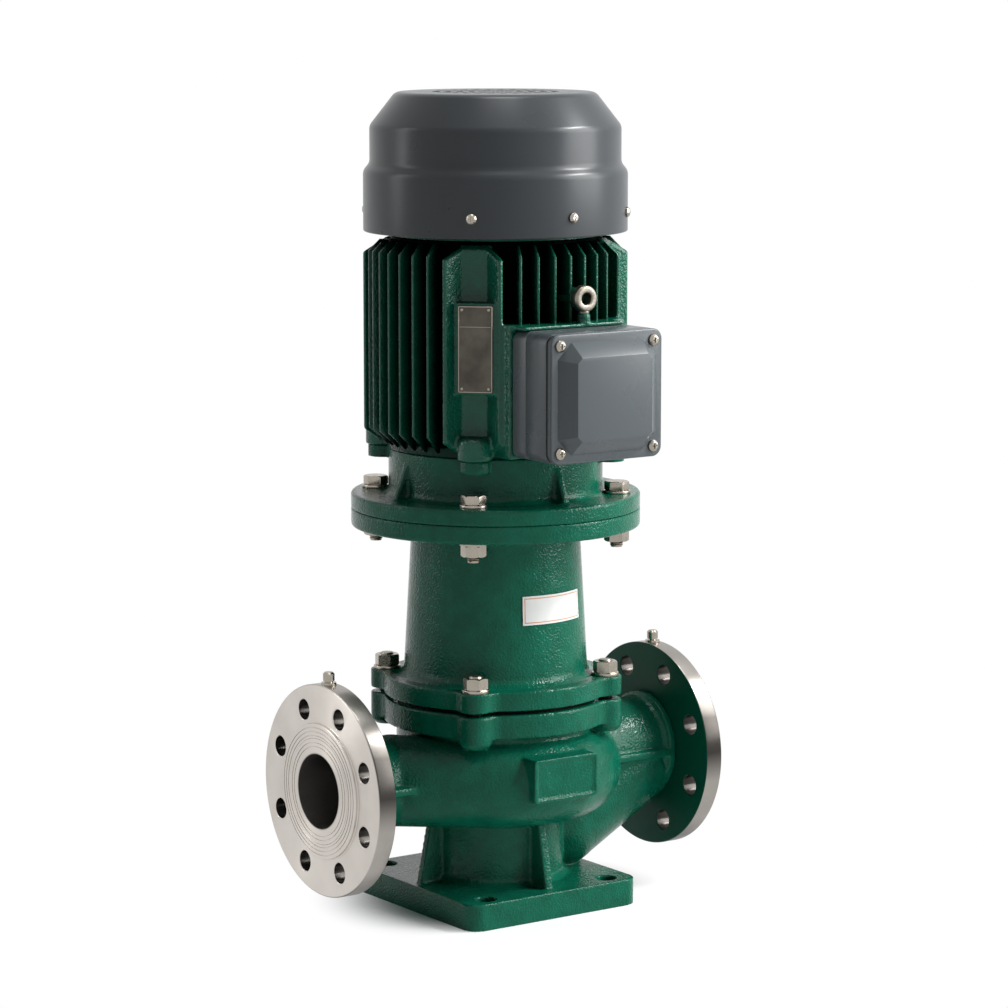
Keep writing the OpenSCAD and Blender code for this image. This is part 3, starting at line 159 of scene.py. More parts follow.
def rounded_outline(points, steps, closed=True):
    """Replaces each corner (x, y, radius) of an outline by an arc."""
    outline = []
    count = len(points)
    for i, point in enumerate(points):
        here = Vector(point[:2])
        radius = point[2] if len(point) > 2 else 0
        if radius <= 0 or (not closed and i in (0, count - 1)):
            outline.append(tuple(here))
            continue
        to_last = (Vector(points[i - 1][:2]) - here).normalized()
        to_next = (Vector(points[(i + 1) % count][:2]) - here).normalized()
        half = to_last.angle(to_next) / 2
        if abs(half - math.pi / 2) < STRAIGHT:
            outline.append(tuple(here))
            continue
        reach = radius / math.tan(half)
        centre = here + (to_last + to_next).normalized() * (radius / math.sin(half))
        start = here + to_last * reach - centre
        end = here + to_next * reach - centre
        for k in range(steps + 1):
            swing = start.slerp(end, k / steps, start)
            outline.append(tuple(centre + swing.normalized() * radius))
    return outline


def lathe(shape, outline, steps, closed=True, turn=None):
    """Turns an outline of (radius, height) about Z. A point on the axis becomes a pole."""
    rings = []
    for radius, height in outline:
        if radius < TOUCHING:
            rings.append([shape.verts.new((0, 0, height))])
            continue
        angles = [2 * math.pi * i / steps for i in range(steps)]
        rings.append([shape.verts.new((radius * math.cos(a), radius * math.sin(a), height)) for a in angles])
    pairs = list(zip(rings, rings[1:]))
    if closed:
        pairs.append((rings[-1], rings[0]))
    for low, high in pairs:
        for i in range(steps):
            j = (i + 1) % steps
            corners = [low[i % len(low)], low[j % len(low)], high[j % len(high)], high[i % len(high)]]
            corners = list(dict.fromkeys(corners))
            if len(corners) > 2:
                shape.faces.new(corners)
    if turn is not None:
        bmesh.ops.transform(shape, matrix=turn, verts=[v for ring in rings for v in ring])


def lathe_mm(shape, outline, steps, closed=True, turn=None, arc=0):
    """Turns an outline in millimetres. With arc, corners (radius, height, rounding) get that many steps."""
    points = metres(outline)
    lathe(shape, rounded_outline(points, arc, closed) if arc else points, steps, closed, turn)


def turned_piece(name, outline, steps, closed=True, turn=None, arc=0):
    """An object turned from one outline in millimetres."""
    shape = bmesh.new()
    lathe_mm(shape, outline, steps, closed, turn, arc)
    return finish_shape(shape, name)


def rounded_rectangle(width, height, corner, steps=8):
    """Points of a rectangle with round corners, centred on the origin."""
    points = []
    for k, (sx, sy) in enumerate([(1, 1), (-1, 1), (-1, -1), (1, -1)]):
        for i in range(steps + 1):
            a = math.pi / 2 * (k + i / steps)
            x = sx * (width / 2 - corner) + corner * math.cos(a)
            y = sy * (height / 2 - corner) + corner * math.sin(a)
            points.append((x, y))
    return points


def skin(shape, loops, closed=False):
    """Joins loops of equal length by faces, and caps both ends unless they close on each other."""
    rings = [[shape.verts.new(point) for point in loop] for loop in loops]
    pairs = list(zip(rings, rings[1:]))
    if closed:
        pairs.append((rings[-1], rings[0]))
    for low, high in pairs:
        for i in range(len(low)):
            j = (i + 1) % len(low)
            shape.faces.new([low[i], low[j], high[j], high[i]])
    if not closed:
        shape.faces.new(rings[0])
        shape.faces.new(rings[-1])


def prism(shape, outline, low, high):
    """Stands a flat outline up from one height to another."""
    skin(shape, [[(x, y, z) for x, y in outline] for z in (low, high)])


def bevel(obj, width, segments, angle):
    """Rounds an object's edges."""
    made = obj.modifiers.new("edge", "BEVEL")
    made.width = width
    made.segments = segments
    made.limit_method = "ANGLE"
    made.angle_limit = math.radians(angle)
    made.use_clamp_overlap = True
    return settle(obj)


def cut(obj, tool, operation="DIFFERENCE"):
    """Cuts a closed object with another one, which is used up."""
    made = obj.modifiers.new("cut", "BOOLEAN")
    made.operation = operation
    made.solver = "EXACT"
    made.object = tool
    settle(obj)
    bpy.data.objects.remove(tool)
    return obj


def foundry_round(obj, passes):
    """Rounds every edge and inner corner as sand moulding and fettling leave them."""
    coarser = 1
    cells = obj.modifiers.new("cells", "REMESH")
    cells.mode = "VOXEL"
    cells.voxel_size = bpy.context.scene.pump_sizes.casting_grain * coarser
    smoothing = obj.modifiers.new("fettling", "SMOOTH")
    smoothing.factor = 0.5
    smoothing.iterations = passes
    settle(obj)
    triangles = sum(len(face.vertices) - 2 for face in obj.data.polygons)
    if triangles > CASTING_TRIANGLES:
        thinning = obj.modifiers.new("thinning", "DECIMATE")
        thinning.ratio = CASTING_TRIANGLES / triangles
        settle(obj)
    return shade(obj)


def merged_copy(node, name):
    """A copy of a CAD node's mesh with its doubles merged."""
    shape = bmesh.new()
    shape.from_mesh(NODES[node].data)
    bmesh.ops.remove_doubles(shape, verts=shape.verts, dist=TOUCHING)
    return new_object(shape, name)


def place(piece, body, material, slot, *nodes):
    """Gives a finished piece its material, its body and the nodes that it stands for."""
    piece.data.materials.clear()
    piece.data.materials.append(material)
    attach(piece, body)
    if nodes:
        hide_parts(*nodes)
    return piece


def add_mesh(shape, mesh, turn):
    """Adds a mesh to a shape, turned or moved."""
    before = len(shape.verts)
    shape.from_mesh(mesh)
    shape.verts.ensure_lookup_table()
    bmesh.ops.transform(shape, matrix=turn, verts=shape.verts[before:])


def joined(name, objects):
    """Makes one object of several, which are used up."""
    shape = bmesh.new()
    for obj in objects:
        shape.from_mesh(obj.data)
        bpy.data.objects.remove(obj)
    return new_object(shape, name)


def slice_off(shape, point, normal):
    """Cuts away what lies beyond a plane and closes the cut."""
    everything = shape.verts[:] + shape.edges[:] + shape.faces[:]
    made = bmesh.ops.bisect_plane(shape, geom=everything, plane_co=point, plane_no=normal, clear_outer=True)
    edges = [item for item in made["geom_cut"] if isinstance(item, bmesh.types.BMEdge)]
    bmesh.ops.edgeloop_fill(shape, edges=edges)


def about_shaft(degrees):
    """A turn about the shaft."""
    return Matrix.Rotation(math.radians(degrees), 4, "Z")


def at(x, y, z):
    """A move, in millimetres."""
    return Matrix.Translation((x * MM, y * MM, z * MM))


# Turns of +Z to -Y, where the terminal box faces, and to +X, where a port does
TO_BOX = Matrix.Rotation(math.pi / 2, 4, "X")
TO_PORT = Matrix.Rotation(math.pi / 2, 4, "Y")


# Node trees


def add(tree, kind, inputs=None, **settings):
    """Adds a node, with its settings and with a value or a link for each named input."""
    made = tree.nodes.new(kind)
    for name, value in settings.items():
        setattr(made, name, value)
    for name, value in (inputs or {}).items():
        if isinstance(value, bpy.types.NodeSocket):
            tree.links.new(value, made.inputs[name])
        else:
            made.inputs[name].default_value = value
    return made


def new_tree(name, inputs):
    """A Geometry Nodes tree with named inputs of (name, kind, default)."""
    tree = bpy.data.node_groups.new(name, "GeometryNodeTree")
    for label, kind, default in inputs:
        socket = tree.interface.new_socket(label, in_out="INPUT", socket_type=kind)
        if default is not None:
            socket.default_value = default
    tree.interface.new_socket("Geometry", in_out="OUTPUT", socket_type="NodeSocketGeometry")
    return tree, add(tree, "NodeGroupInput").outputs


def end_tree(tree, geometry, material):
    """Ends a tree with plain geometry that has its material."""
    real = add(tree, "GeometryNodeRealizeInstances", {"Geometry": geometry}).outputs[0]
    done = add(tree, "GeometryNodeSetMaterial", {"Geometry": real, "Material": material}).outputs[0]
    add(tree, "NodeGroupOutput", {"Geometry": done})


def run_tree(tree, name, values):
    """Makes a plain mesh object from a tree and its input values."""
    made = new_object(bmesh.new(), name)
    modifier = made.modifiers.new(name, "NODES")
    modifier.node_group = tree
    for item in tree.interface.items_tree:
        if item.in_out == "INPUT" and item.name in values:
            modifier[item.identifier] = values[item.name]
    return settle(made)


def shaft_banks_tree():
    """Stands copies of a part in banks round the shaft, such as fins, bolts and nuts."""
    tree, given = new_tree(
        "banks_round_shaft",
        [
            ("Part", "NodeSocketObject", None),
            ("Banks", "NodeSocketInt", 4),
            ("Per bank", "NodeSocketInt", 1),
            ("Pitch", "NodeSocketFloat", 0.0),
            ("Bank step", "NodeSocketFloat", 90.0),
            ("First angle", "NodeSocketFloat", 45.0),
            ("Radius", "NodeSocketFloat", 0.1),
            ("Height", "NodeSocketFloat", 0.0),
            ("Follow", "NodeSocketFloat", 0.0),
            ("Turn", "NodeSocketFloat", 0.0),
            ("Material", "NodeSocketMaterial", None),
        ],
    )

    math_node = "ShaderNodeMath"
    index = add(tree, "GeometryNodeInputIndex").outputs[0]
    share = add(tree, math_node, {0: index, 1: given["Per bank"]}, operation="DIVIDE").outputs[0]
    bank = add(tree, math_node, {0: share}, operation="FLOOR").outputs[0]
    in_bank = add(tree, math_node, {0: index, 1: given["Per bank"]}, operation="MODULO").outputs[0]
    last = add(tree, math_node, {0: given["Per bank"], 1: 1.0}, operation="SUBTRACT").outputs[0]
    from_middle = add(tree, math_node, {0: last, 1: -0.5, 2: in_bank}, operation="MULTIPLY_ADD").outputs[0]
    start = {0: bank, 1: given["Bank step"], 2: given["First angle"]}
    bank_angle = add(tree, math_node, start, operation="MULTIPLY_ADD").outputs[0]
    spread = {0: from_middle, 1: given["Pitch"], 2: bank_angle}
    degrees = add(tree, math_node, spread, operation="MULTIPLY_ADD").outputs[0]
    angle = add(tree, math_node, {0: degrees}, operation="RADIANS").outputs[0]
    reach = add(tree, "ShaderNodeCombineXYZ", {"X": given["Radius"], "Z": given["Height"]}).outputs[0]
    swing = {"Vector": reach, "Angle": angle}
    spot = add(tree, "ShaderNodeVectorRotate", swing, rotation_type="Z_AXIS").outputs[0]
    count = add(tree, math_node, {0: given["Banks"], 1: given["Per bank"]}, operation="MULTIPLY").outputs[0]
    points = add(tree, "GeometryNodePoints", {"Count": count, "Position": spot}).outputs[0]
    own_turn = add(tree, math_node, {0: given["Turn"]}, operation="RADIANS").outputs[0]
    follow = {0: given["Follow"], 1: angle, 2: own_turn}
    turn = add(tree, math_node, follow, operation="MULTIPLY_ADD").outputs[0]
    rotation = add(tree, "ShaderNodeCombineXYZ", {"Z": turn}).outputs[0]
    part = add(tree, "GeometryNodeObjectInfo", {"Object": given["Part"]}).outputs["Geometry"]
    copies = add(
        tree, "GeometryNodeInstanceOnPoints", {"Points": points, "Instance": part, "Rotation": rotation}
    ).outputs[0]
    end_tree(tree, copies, given["Material"])
    return tree


def corners_tree():
    """Puts copies of a part on the four corners of an upright rectangle that faces -Y."""
    tree, given = new_tree(
        "four_corners",
        [
            ("Part", "NodeSocketObject", None),
            ("Width", "NodeSocketFloat", 0.1),
            ("Height", "NodeSocketFloat", 0.1),
            ("Centre", "NodeSocketVector", (0, 0, 0)),
            ("Material", "NodeSocketMaterial", None),
        ],
    )
    grid = add(
        tree,
        "GeometryNodeMeshGrid",
        {"Size X": given["Width"], "Size Y": given["Height"], "Vertices X": 2, "Vertices Y": 2},
    ).outputs[0]
    upright = add(
        tree,
        "GeometryNodeTransform",
        {"Geometry": grid, "Translation": given["Centre"], "Rotation": (math.pi / 2, 0, 0)},
    ).outputs[0]
    part = add(tree, "GeometryNodeObjectInfo", {"Object": given["Part"]}).outputs["Geometry"]
    copies = add(tree, "GeometryNodeInstanceOnPoints", {"Points": upright, "Instance": part}).outputs[0]
    end_tree(tree, copies, given["Material"])
    return tree


# Finishes


def per_metre(millimetres):
    """The texture scale at which a pattern repeats in that many millimetres."""
    return 1000.0 / millimetres


def rings_scale(millimetres):
    """The scale at which a wave texture's rings are that many millimetres apart."""
    return 2 * math.pi / 20 * per_metre(millimetres)


def start_finish(name, values):
    """A material with the shader's plain values set, and the object's own coordinates."""
    material = bpy.data.materials.new(name)
    material.use_nodes = True
    tree = material.node_tree
    shader = tree.nodes["Principled BSDF"]
    for socket, value in values.items():
        shader.inputs[socket].default_value = value
    return material, tree, shader, add(tree, "ShaderNodeTexCoord").outputs["Object"]


def colour(value):
    """Red, green, blue and full alpha."""
    return (*value[:3], 1.0)


def end_finish(tree, shader, tone, roughness, height, strength, depth):
    """Links a finish's tone, its roughness if it varies, and its relief, whose depth is in millimetres."""
    tree.links.new(tone, shader.inputs["Base Color"])
    if roughness:
        tree.links.new(roughness, shader.inputs["Roughness"])
    relief = {"Height": height, "Strength": strength, "Distance": depth * MM}
    tree.links.new(add(tree, "ShaderNodeBump", relief).outputs[0], shader.inputs["Normal"])


def cast_enamel(name, full_shade_r=0.0, no_shade_r=0.0):
    """Gloss enamel sprayed on sand cast iron: the sand's grain shows as fine pebbling with broken glints.

    With the two radii it gets painted shade: it darkens to near black from the larger radius in to the
    smaller one, towards the roots of the fins.
    """
    colours = bpy.context.scene.pump_colours
    material, tree, shader, spot = start_finish(name, {"IOR": 1.5, "Specular IOR Level": 0.13})
    sand = {"Vector": spot, "Scale": per_metre(1.8), "Detail": 0.6}
    grain = add(tree, "ShaderNodeTexNoise", sand).outputs[0]
    waves = {"Vector": spot, "Scale": per_metre(14), "Detail": 2.0}
    swell = add(tree, "ShaderNodeTexNoise", waves).outputs[0]
    blend = add(tree, "ShaderNodeMapRange", {0: swell, 1: 0.35, 2: 0.7}).outputs[0]
    greens = {0: blend, 6: colour(colours.enamel_hollow), 7: colour(colours.enamel)}
    tone = add(tree, "ShaderNodeMix", greens, data_type="RGBA").outputs[2]
    # Painted shade between the fins: towards their roots the green goes near black, and the reflection turns
    # down there and up at the tips
    if no_shade_r:
        flat = add(tree, "ShaderNodeVectorMath", {0: spot, 1: (1, 1, 0)}, operation="MULTIPLY").outputs[0]
        radius = add(tree, "ShaderNodeVectorMath", {0: flat}, operation="LENGTH").outputs["Value"]
        out = {0: radius, 1: full_shade_r, 2: no_shade_r, 3: 0.08, 4: 1.0}
        share = add(tree, "ShaderNodeMapRange", out).outputs[0]
        share = add(tree, "ShaderNodeMath", {0: share, 1: 2.0}, operation="POWER").outputs[0]
        darkening = {0: share, 6: (0, 0.001, 0, 1), 7: tone}
        tone = add(tree, "ShaderNodeMix", darkening, data_type="RGBA").outputs[2]
        gloss = add(tree, "ShaderNodeMath", {0: share, 1: 0.25}, operation="MULTIPLY").outputs[0]
        tree.links.new(gloss, shader.inputs["Specular IOR Level"])
    dull = add(tree, "ShaderNodeMapRange", {0: grain, 1: 0.3, 2: 0.7, 3: 0.08, 4: 0.19}).outputs[0]
    height = add(tree, "ShaderNodeMath", {0: swell, 1: 0.7, 2: grain}, operation="MULTIPLY_ADD").outputs[0]
    end_finish(tree, shader, tone, dull, height, 1.0, 0.52)
    return material


# Steel under oil and grime, and in the dark of tool marks; also painted shade in bores and holes, and painted
# reflection bands on flange rims
GRIME_AND_SHADE = (0.02, 0.018, 0.016, 1.0)


def turned_metal(name, tone, centre, axis, roughness, bore_r=0.0, painted_back=False):
    """Steel faced on a lathe: fine tool rings that stretch the highlights across them."""
    # The highlights stretch along the tangent, and a quarter turn lays them across the tool rings
    values = {"Metallic": 1.0, "Anisotropic": 0.75, "Anisotropic Rotation": 0.25, "Specular IOR Level": 0.08}
    material, tree, shader, spot = start_finish(name, values)
    hub = add(tree, "ShaderNodeVectorMath", {0: spot, 1: centre}, operation="SUBTRACT").outputs[0]
    along = add(tree, "ShaderNodeVectorMath", {0: axis, 1: hub}, operation="CROSS_PRODUCT").outputs[0]
    tree.links.new(along, shader.inputs["Tangent"])
    # Real tool marks are finer than a millimetre, so they are drawn as coarse as they need to show
    rings = add(
        tree,
        "ShaderNodeTexWave",
        {"Vector": hub, "Scale": rings_scale(1.3), "Distortion": 0.6, "Detail": 1.0},
        wave_type="RINGS",
        rings_direction="X" if axis[0] else "Z",
    ).outputs["Fac"]
    cloudy = {"Vector": spot, "Scale": per_metre(30), "Detail": 3.0}
    stain = add(tree, "ShaderNodeTexNoise", cloudy).outputs[0]
    worn = add(tree, "ShaderNodeMapRange", {0: stain, 1: 0.35, 2: 0.7, 3: 0.9, 4: 0.98}).outputs[0]
    shaded = add(tree, "ShaderNodeMath", {0: rings, 1: 0.05, 2: worn}, operation="MULTIPLY_ADD").outputs[0]
    radius = add(tree, "ShaderNodeVectorMath", {0: along}, operation="LENGTH").outputs["Value"]
    if bore_r:
        # Inside the bore the colour is darkened as painted shade
        out = {0: radius, 1: bore_r + 0.2 * MM, 2: bore_r + 1.2 * MM, 3: 0.28, 4: 1.0}
        outside = add(tree, "ShaderNodeMapRange", out).outputs[0]
        shaded = add(tree, "ShaderNodeMath", {0: shaded, 1: outside}, operation="MULTIPLY").outputs[0]
    darkening = {0: shaded, 6: GRIME_AND_SHADE, 7: colour(tone)}
    steel = add(tree, "ShaderNodeMix", darkening, data_type="RGBA").outputs[2]
    gloss = {0: stain, 1: 0.3, 2: 0.7, 3: roughness + 0.06, 4: roughness - 0.03}
    dull = add(tree, "ShaderNodeMapRange", gloss).outputs[0]
    height = rings
    if painted_back:
        steel, height = flange_back_and_painted_light(tree, shader, spot, hub, radius, steel, rings)
    end_finish(tree, shader, steel, dull, height, 0.12, 0.1)
    return material


def flange_back_and_painted_light(tree, shader, spot, hub, radius, steel, rings):
    """A pipe flange's rim with painted reflection bands, its holes with painted shade and its enamelled back
    in painted shade, laid over its bare steel.
    """
    x = add(tree, "ShaderNodeSeparateXYZ", {0: spot}).outputs[0]
    reach = add(tree, "ShaderNodeMath", {0: x}, operation="ABSOLUTE").outputs[0]
    # The rim is darker than the face, with a few cloudy bands: a painted reflection of dark surroundings
    bands = {"Vector": hub, "Scale": rings_scale(120), "Distortion": 1.2, "Detail": 1.0, "Phase Offset": -1.2}
    reflection_bands = add(tree, "ShaderNodeTexWave", bands, wave_type="BANDS", bands_direction="Z").outputs["Fac"]
    reflection_tone = add(tree, "ShaderNodeMapRange", {0: reflection_bands, 1: 0.15, 2: 0.8, 3: 0.94, 4: 0.38}).outputs[0]
    rim_reflection = add(tree, "ShaderNodeMapRange", {0: radius, 1: 91.2 * MM, 2: 92.2 * MM}).outputs[0]
    rim_reflection = add(tree, "ShaderNodeMath", {0: rim_reflection, 1: reflection_tone}, operation="MULTIPLY").outputs[0]
    # The drilled holes are darker still, with painted shade down them
    hole = {0: radius, 1: PIPE_BOLT_R * MM, 2: 9.4 * MM}
    in_hole = add(tree, "ShaderNodeMath", hole, operation="COMPARE").outputs[0]
    under_face = {0: reach, 1: (FLANGE_BACK + 16.2) * MM}
    below_face = add(tree, "ShaderNodeMath", under_face, operation="LESS_THAN").outputs[0]
    hollow_shade = add(tree, "ShaderNodeMath", {0: in_hole, 1: below_face}, operation="MULTIPLY").outputs[0]
    hollow_shade = add(tree, "ShaderNodeMath", {0: hollow_shade, 1: 0.92}, operation="MULTIPLY").outputs[0]
    dark = add(tree, "ShaderNodeMath", {0: rim_reflection, 1: hollow_shade}, operation="MAXIMUM").outputs[0]
    darker = {0: dark, 6: steel, 7: GRIME_AND_SHADE}
    steel = add(tree, "ShaderNodeMix", darker, data_type="RGBA").outputs[2]
    # The back and the edge nearest to it wear the castings' enamel, darkened as painted shade, with the raw
    # casting's grain
    back = {0: reach, 1: (FLANGE_BACK + 0.6) * MM}
    bare = add(tree, "ShaderNodeMath", back, operation="GREATER_THAN").outputs[0]
    tree.links.new(bare, shader.inputs["Metallic"])
    shaded_enamel = colour([c * 0.6 for c in bpy.context.scene.pump_colours.enamel])
    painted = {0: bare, 6: shaded_enamel, 7: steel}
    steel = add(tree, "ShaderNodeMix", painted, data_type="RGBA").outputs[2]
    sand = {"Vector": spot, "Scale": per_metre(2.4), "Detail": 3.0}
    grain = add(tree, "ShaderNodeTexNoise", sand).outputs[0]
    coarse = add(tree, "ShaderNodeMath", {0: grain, 1: 5.0}, operation="MULTIPLY").outputs[0]
    height = add(tree, "ShaderNodeMix", {0: bare, 2: coarse, 3: rings}).outputs[0]
    return steel, height


def plain_metal(name, hex_code, roughness, fleck=0.75, grain=1.2, shade_band=None):
    """Metal with a fine even surface, dulled here and there by handling, and painted near black as shade
    between two heights.
    """
    material, tree, shader, spot = start_finish(name, {"Metallic": 1.0})
    handled = {"Vector": spot, "Scale": per_metre(9), "Detail": 3.0}
    stain = add(tree, "ShaderNodeTexNoise", handled).outputs[0]
    surface = {"Vector": spot, "Scale": per_metre(grain), "Detail": 2.0}
    fine = add(tree, "ShaderNodeTexNoise", surface).outputs[0]
    blend = add(tree, "ShaderNodeMapRange", {0: stain, 1: 0.35, 2: 0.65}).outputs[0]
    tone = linear(hex_code)
    tones = {0: blend, 6: colour([c * fleck for c in tone]), 7: colour(tone)}
    mixed = add(tree, "ShaderNodeMix", tones, data_type="RGBA").outputs[2]
    # Painted shade: near black between the two heights
    if shade_band:
        z = add(tree, "ShaderNodeSeparateXYZ", {0: spot}).outputs[2]
        low, high = shade_band
        between = {0: z, 1: (low + high) / 2 * MM, 2: (high - low) / 2 * MM}
        painted_shade_here = add(tree, "ShaderNodeMath", between, operation="COMPARE").outputs[0]
        hollow_shade = {0: painted_shade_here, 6: mixed, 7: (0.01, 0.01, 0.009, 1)}
        mixed = add(tree, "ShaderNodeMix", hollow_shade, data_type="RGBA").outputs[2]
    gloss = {0: fine, 1: 0.3, 2: 0.7, 3: roughness - 0.05, 4: roughness + 0.1}
    dull = add(tree, "ShaderNodeMapRange", gloss).outputs[0]
    end_finish(tree, shader, mixed, dull, fine, 0.15, 0.05)
    return material


def satin_paint(name, tone, roughness):
    """Powder coat on pressed or die cast metal: even satin with a very fine orange peel."""
    material, tree, shader, spot = start_finish(name, {"IOR": 1.5, "Specular IOR Level": 0.26})
    # Real peel is finer than a millimetre, so it is drawn as coarse as it needs to show
    orange = {"Vector": spot, "Scale": per_metre(1.4), "Detail": 2.0}
    peel = add(tree, "ShaderNodeTexNoise", orange).outputs[0]
    dusty = {"Vector": spot, "Scale": per_metre(45), "Detail": 6.0}
    cloud = add(tree, "ShaderNodeTexNoise", dusty).outputs[0]
    blend = add(tree, "ShaderNodeMapRange", {0: cloud, 1: 0.1, 2: 0.9}).outputs[0]
    tones = {0: blend, 6: colour([c * 0.92 for c in tone]), 7: colour(tone)}
    mixed = add(tree, "ShaderNodeMix", tones, data_type="RGBA").outputs[2]
    gloss = {0: cloud, 1: 0.1, 2: 0.9, 3: roughness + 0.05, 4: roughness - 0.05}
    dull = add(tree, "ShaderNodeMapRange", gloss).outputs[0]
    end_finish(tree, shader, mixed, dull, peel, 0.15, 0.04)
    return material


def moulded(name, hex_code, roughness, grain, depth, ior):
    """Rubber, plastic, carbon or ceramic: one colour, slightly clouded, with a matt grain."""
    material, tree, shader, spot = start_finish(name, {"IOR": ior})
    tone = linear(hex_code)
    matt = {"Vector": spot, "Scale": per_metre(grain), "Detail": 3.0}
    fine = add(tree, "ShaderNodeTexNoise", matt).outputs[0]
    dark, light = [c * 0.8 for c in tone], [min(1, c * 1.15) for c in tone]
    tones = {0: fine, 6: colour(dark), 7: colour(light)}
    mixed = add(tree, "ShaderNodeMix", tones, data_type="RGBA").outputs[2]
    gloss = {0: fine, 1: 0.3, 2: 0.7, 3: roughness - 0.06, 4: roughness + 0.06}
    dull = add(tree, "ShaderNodeMapRange", gloss).outputs[0]
    end_finish(tree, shader, mixed, dull, fine, 0.3, depth)
    return material


def stacked_sheets(name, hex_code):
    """Punched sheets pressed in a stack: thin lines across the shaft."""
    material, tree, shader, spot = start_finish(name, {"Metallic": 1.0, "Roughness": 0.45})
    # Sheets are half a millimetre thick, and are drawn thicker so that the lines show
    stack = {"Vector": spot, "Scale": rings_scale(1.6), "Distortion": 0.2}
    lines = add(tree, "ShaderNodeTexWave", stack, bands_direction="Z").outputs["Fac"]
    tone = linear(hex_code)
    tones = {0: lines, 6: colour([c * 0.5 for c in tone]), 7: colour(tone)}
    mixed = add(tree, "ShaderNodeMix", tones, data_type="RGBA").outputs[2]
    end_finish(tree, shader, mixed, None, lines, 0.4, 0.2)
    return material


def lacquered_copper(name, dark_hex, light_hex):
    """Lacquered copper wire in bundles: warm brown metal with wire lines round the bore."""
    material, tree, shader, spot = start_finish(name, {"Metallic": 1.0, "Roughness": 0.35})
    wires = add(
        tree,
        "ShaderNodeTexWave",
        {"Vector": spot, "Scale": rings_scale(1.5), "Distortion": 3.0, "Detail": 2.0, "Detail Scale": 2.0},
        wave_type="RINGS",
        rings_direction="Z",
    ).outputs["Fac"]
    tones = {0: wires, 6: colour(linear(dark_hex)), 7: colour(linear(light_hex))}
    mixed = add(tree, "ShaderNodeMix", tones, data_type="RGBA").outputs[2]
    end_finish(tree, shader, mixed, None, wires, 0.6, 0.5)
    return material


def label_film(name, dark_hex, light_hex):
    """White printed film with one thin line inside its edge and a bare field."""
    barrel_r, middle_z, middle_angle = 79 * MM, 271.5 * MM, math.radians(277 - 360)
    half_width, half_height = 33.8 * MM, 12.5 * MM
    line_inset, line_half = 2.0 * MM, 0.45 * MM
    material, tree, shader, spot = start_finish(name, {"Roughness": 0.45, "IOR": 1.5})
    parts = add(tree, "ShaderNodeSeparateXYZ", {0: spot}).outputs
    angle = add(tree, "ShaderNodeMath", {0: parts[1], 1: parts[0]}, operation="ARCTAN2").outputs[0]
    turn = add(tree, "ShaderNodeMath", {0: angle, 1: middle_angle}, operation="SUBTRACT").outputs[0]
    across = add(tree, "ShaderNodeMath", {0: turn}, operation="ABSOLUTE").outputs[0]
    across = add(tree, "ShaderNodeMath", {0: across, 1: barrel_r}, operation="MULTIPLY").outputs[0]
    up = add(tree, "ShaderNodeMath", {0: parts[2], 1: middle_z}, operation="SUBTRACT").outputs[0]
    up = add(tree, "ShaderNodeMath", {0: up}, operation="ABSOLUTE").outputs[0]
    # How far a spot lies inside the nearer edge
    from_side = add(tree, "ShaderNodeMath", {0: half_width, 1: across}, operation="SUBTRACT").outputs[0]
    from_end = add(tree, "ShaderNodeMath", {0: half_height, 1: up}, operation="SUBTRACT").outputs[0]
    inside = add(tree, "ShaderNodeMath", {0: from_side, 1: from_end}, operation="MINIMUM").outputs[0]
    near_line = {0: inside, 1: line_inset, 2: line_half}
    line = add(tree, "ShaderNodeMath", near_line, operation="COMPARE").outputs[0]
    aged = {"Vector": spot, "Scale": per_metre(18), "Detail": 3.0}
    cloud = add(tree, "ShaderNodeTexNoise", aged).outputs[0]
    tones = {0: cloud, 6: colour(linear(dark_hex)), 7: colour(linear(light_hex))}
    film = add(tree, "ShaderNodeMix", tones, data_type="RGBA").outputs[2]
    printed = {0: line, 6: film, 7: colour(bpy.context.scene.pump_colours.label_line)}
    mixed = add(tree, "ShaderNodeMix", printed, data_type="RGBA").outputs[2]
    end_finish(tree, shader, mixed, None, cloud, 0.1, 0.1)
    return material


def brushed_plate(name, dark_hex, light_hex, highlight_hex):
    """Rolled steel plate, brushed upward and aged brown where it was handled."""
    material, tree, shader, spot = start_finish(name, {"Metallic": 1.0})
    stretched = add(tree, "ShaderNodeMapping", {"Vector": spot, "Scale": (1.0, 1.0, 0.06)}).outputs[0]
    bristles = {"Vector": stretched, "Scale": per_metre(1.1), "Detail": 3.0}
    brush = add(tree, "ShaderNodeTexNoise", bristles).outputs[0]
    patches = {"Vector": spot, "Scale": per_metre(17), "Detail": 3.0}
    age = add(tree, "ShaderNodeTexNoise", patches).outputs[0]
    blend = add(tree, "ShaderNodeMapRange", {0: age, 1: 0.3, 2: 0.75}).outputs[0]
    tones = {0: blend, 6: colour(linear(dark_hex)), 7: colour(linear(light_hex))}
    mixed = add(tree, "ShaderNodeMix", tones, data_type="RGBA").outputs[2]
    # Its raised edge and rivets are lightened as a painted highlight
    facing = about_shaft(PLATE_ANGLE) @ Vector((1, 0, 0))
    reach = add(tree, "ShaderNodeVectorMath", {0: spot, 1: facing}, operation="DOT_PRODUCT").outputs["Value"]
    raised = add(tree, "ShaderNodeMapRange", {0: reach, 1: 112.75 * MM, 2: 112.95 * MM}).outputs[0]
    painted_edge_highlight = {0: raised, 6: mixed, 7: colour(linear(highlight_hex))}
    mixed = add(tree, "ShaderNodeMix", painted_edge_highlight, data_type="RGBA").outputs[2]
    dull = add(tree, "ShaderNodeMapRange", {0: age, 1: 0.3, 2: 0.7, 3: 0.55, 4: 0.36}).outputs[0]
    end_finish(tree, shader, mixed, dull, brush, 0.25, 0.08)
    return material


FINISHES = {}


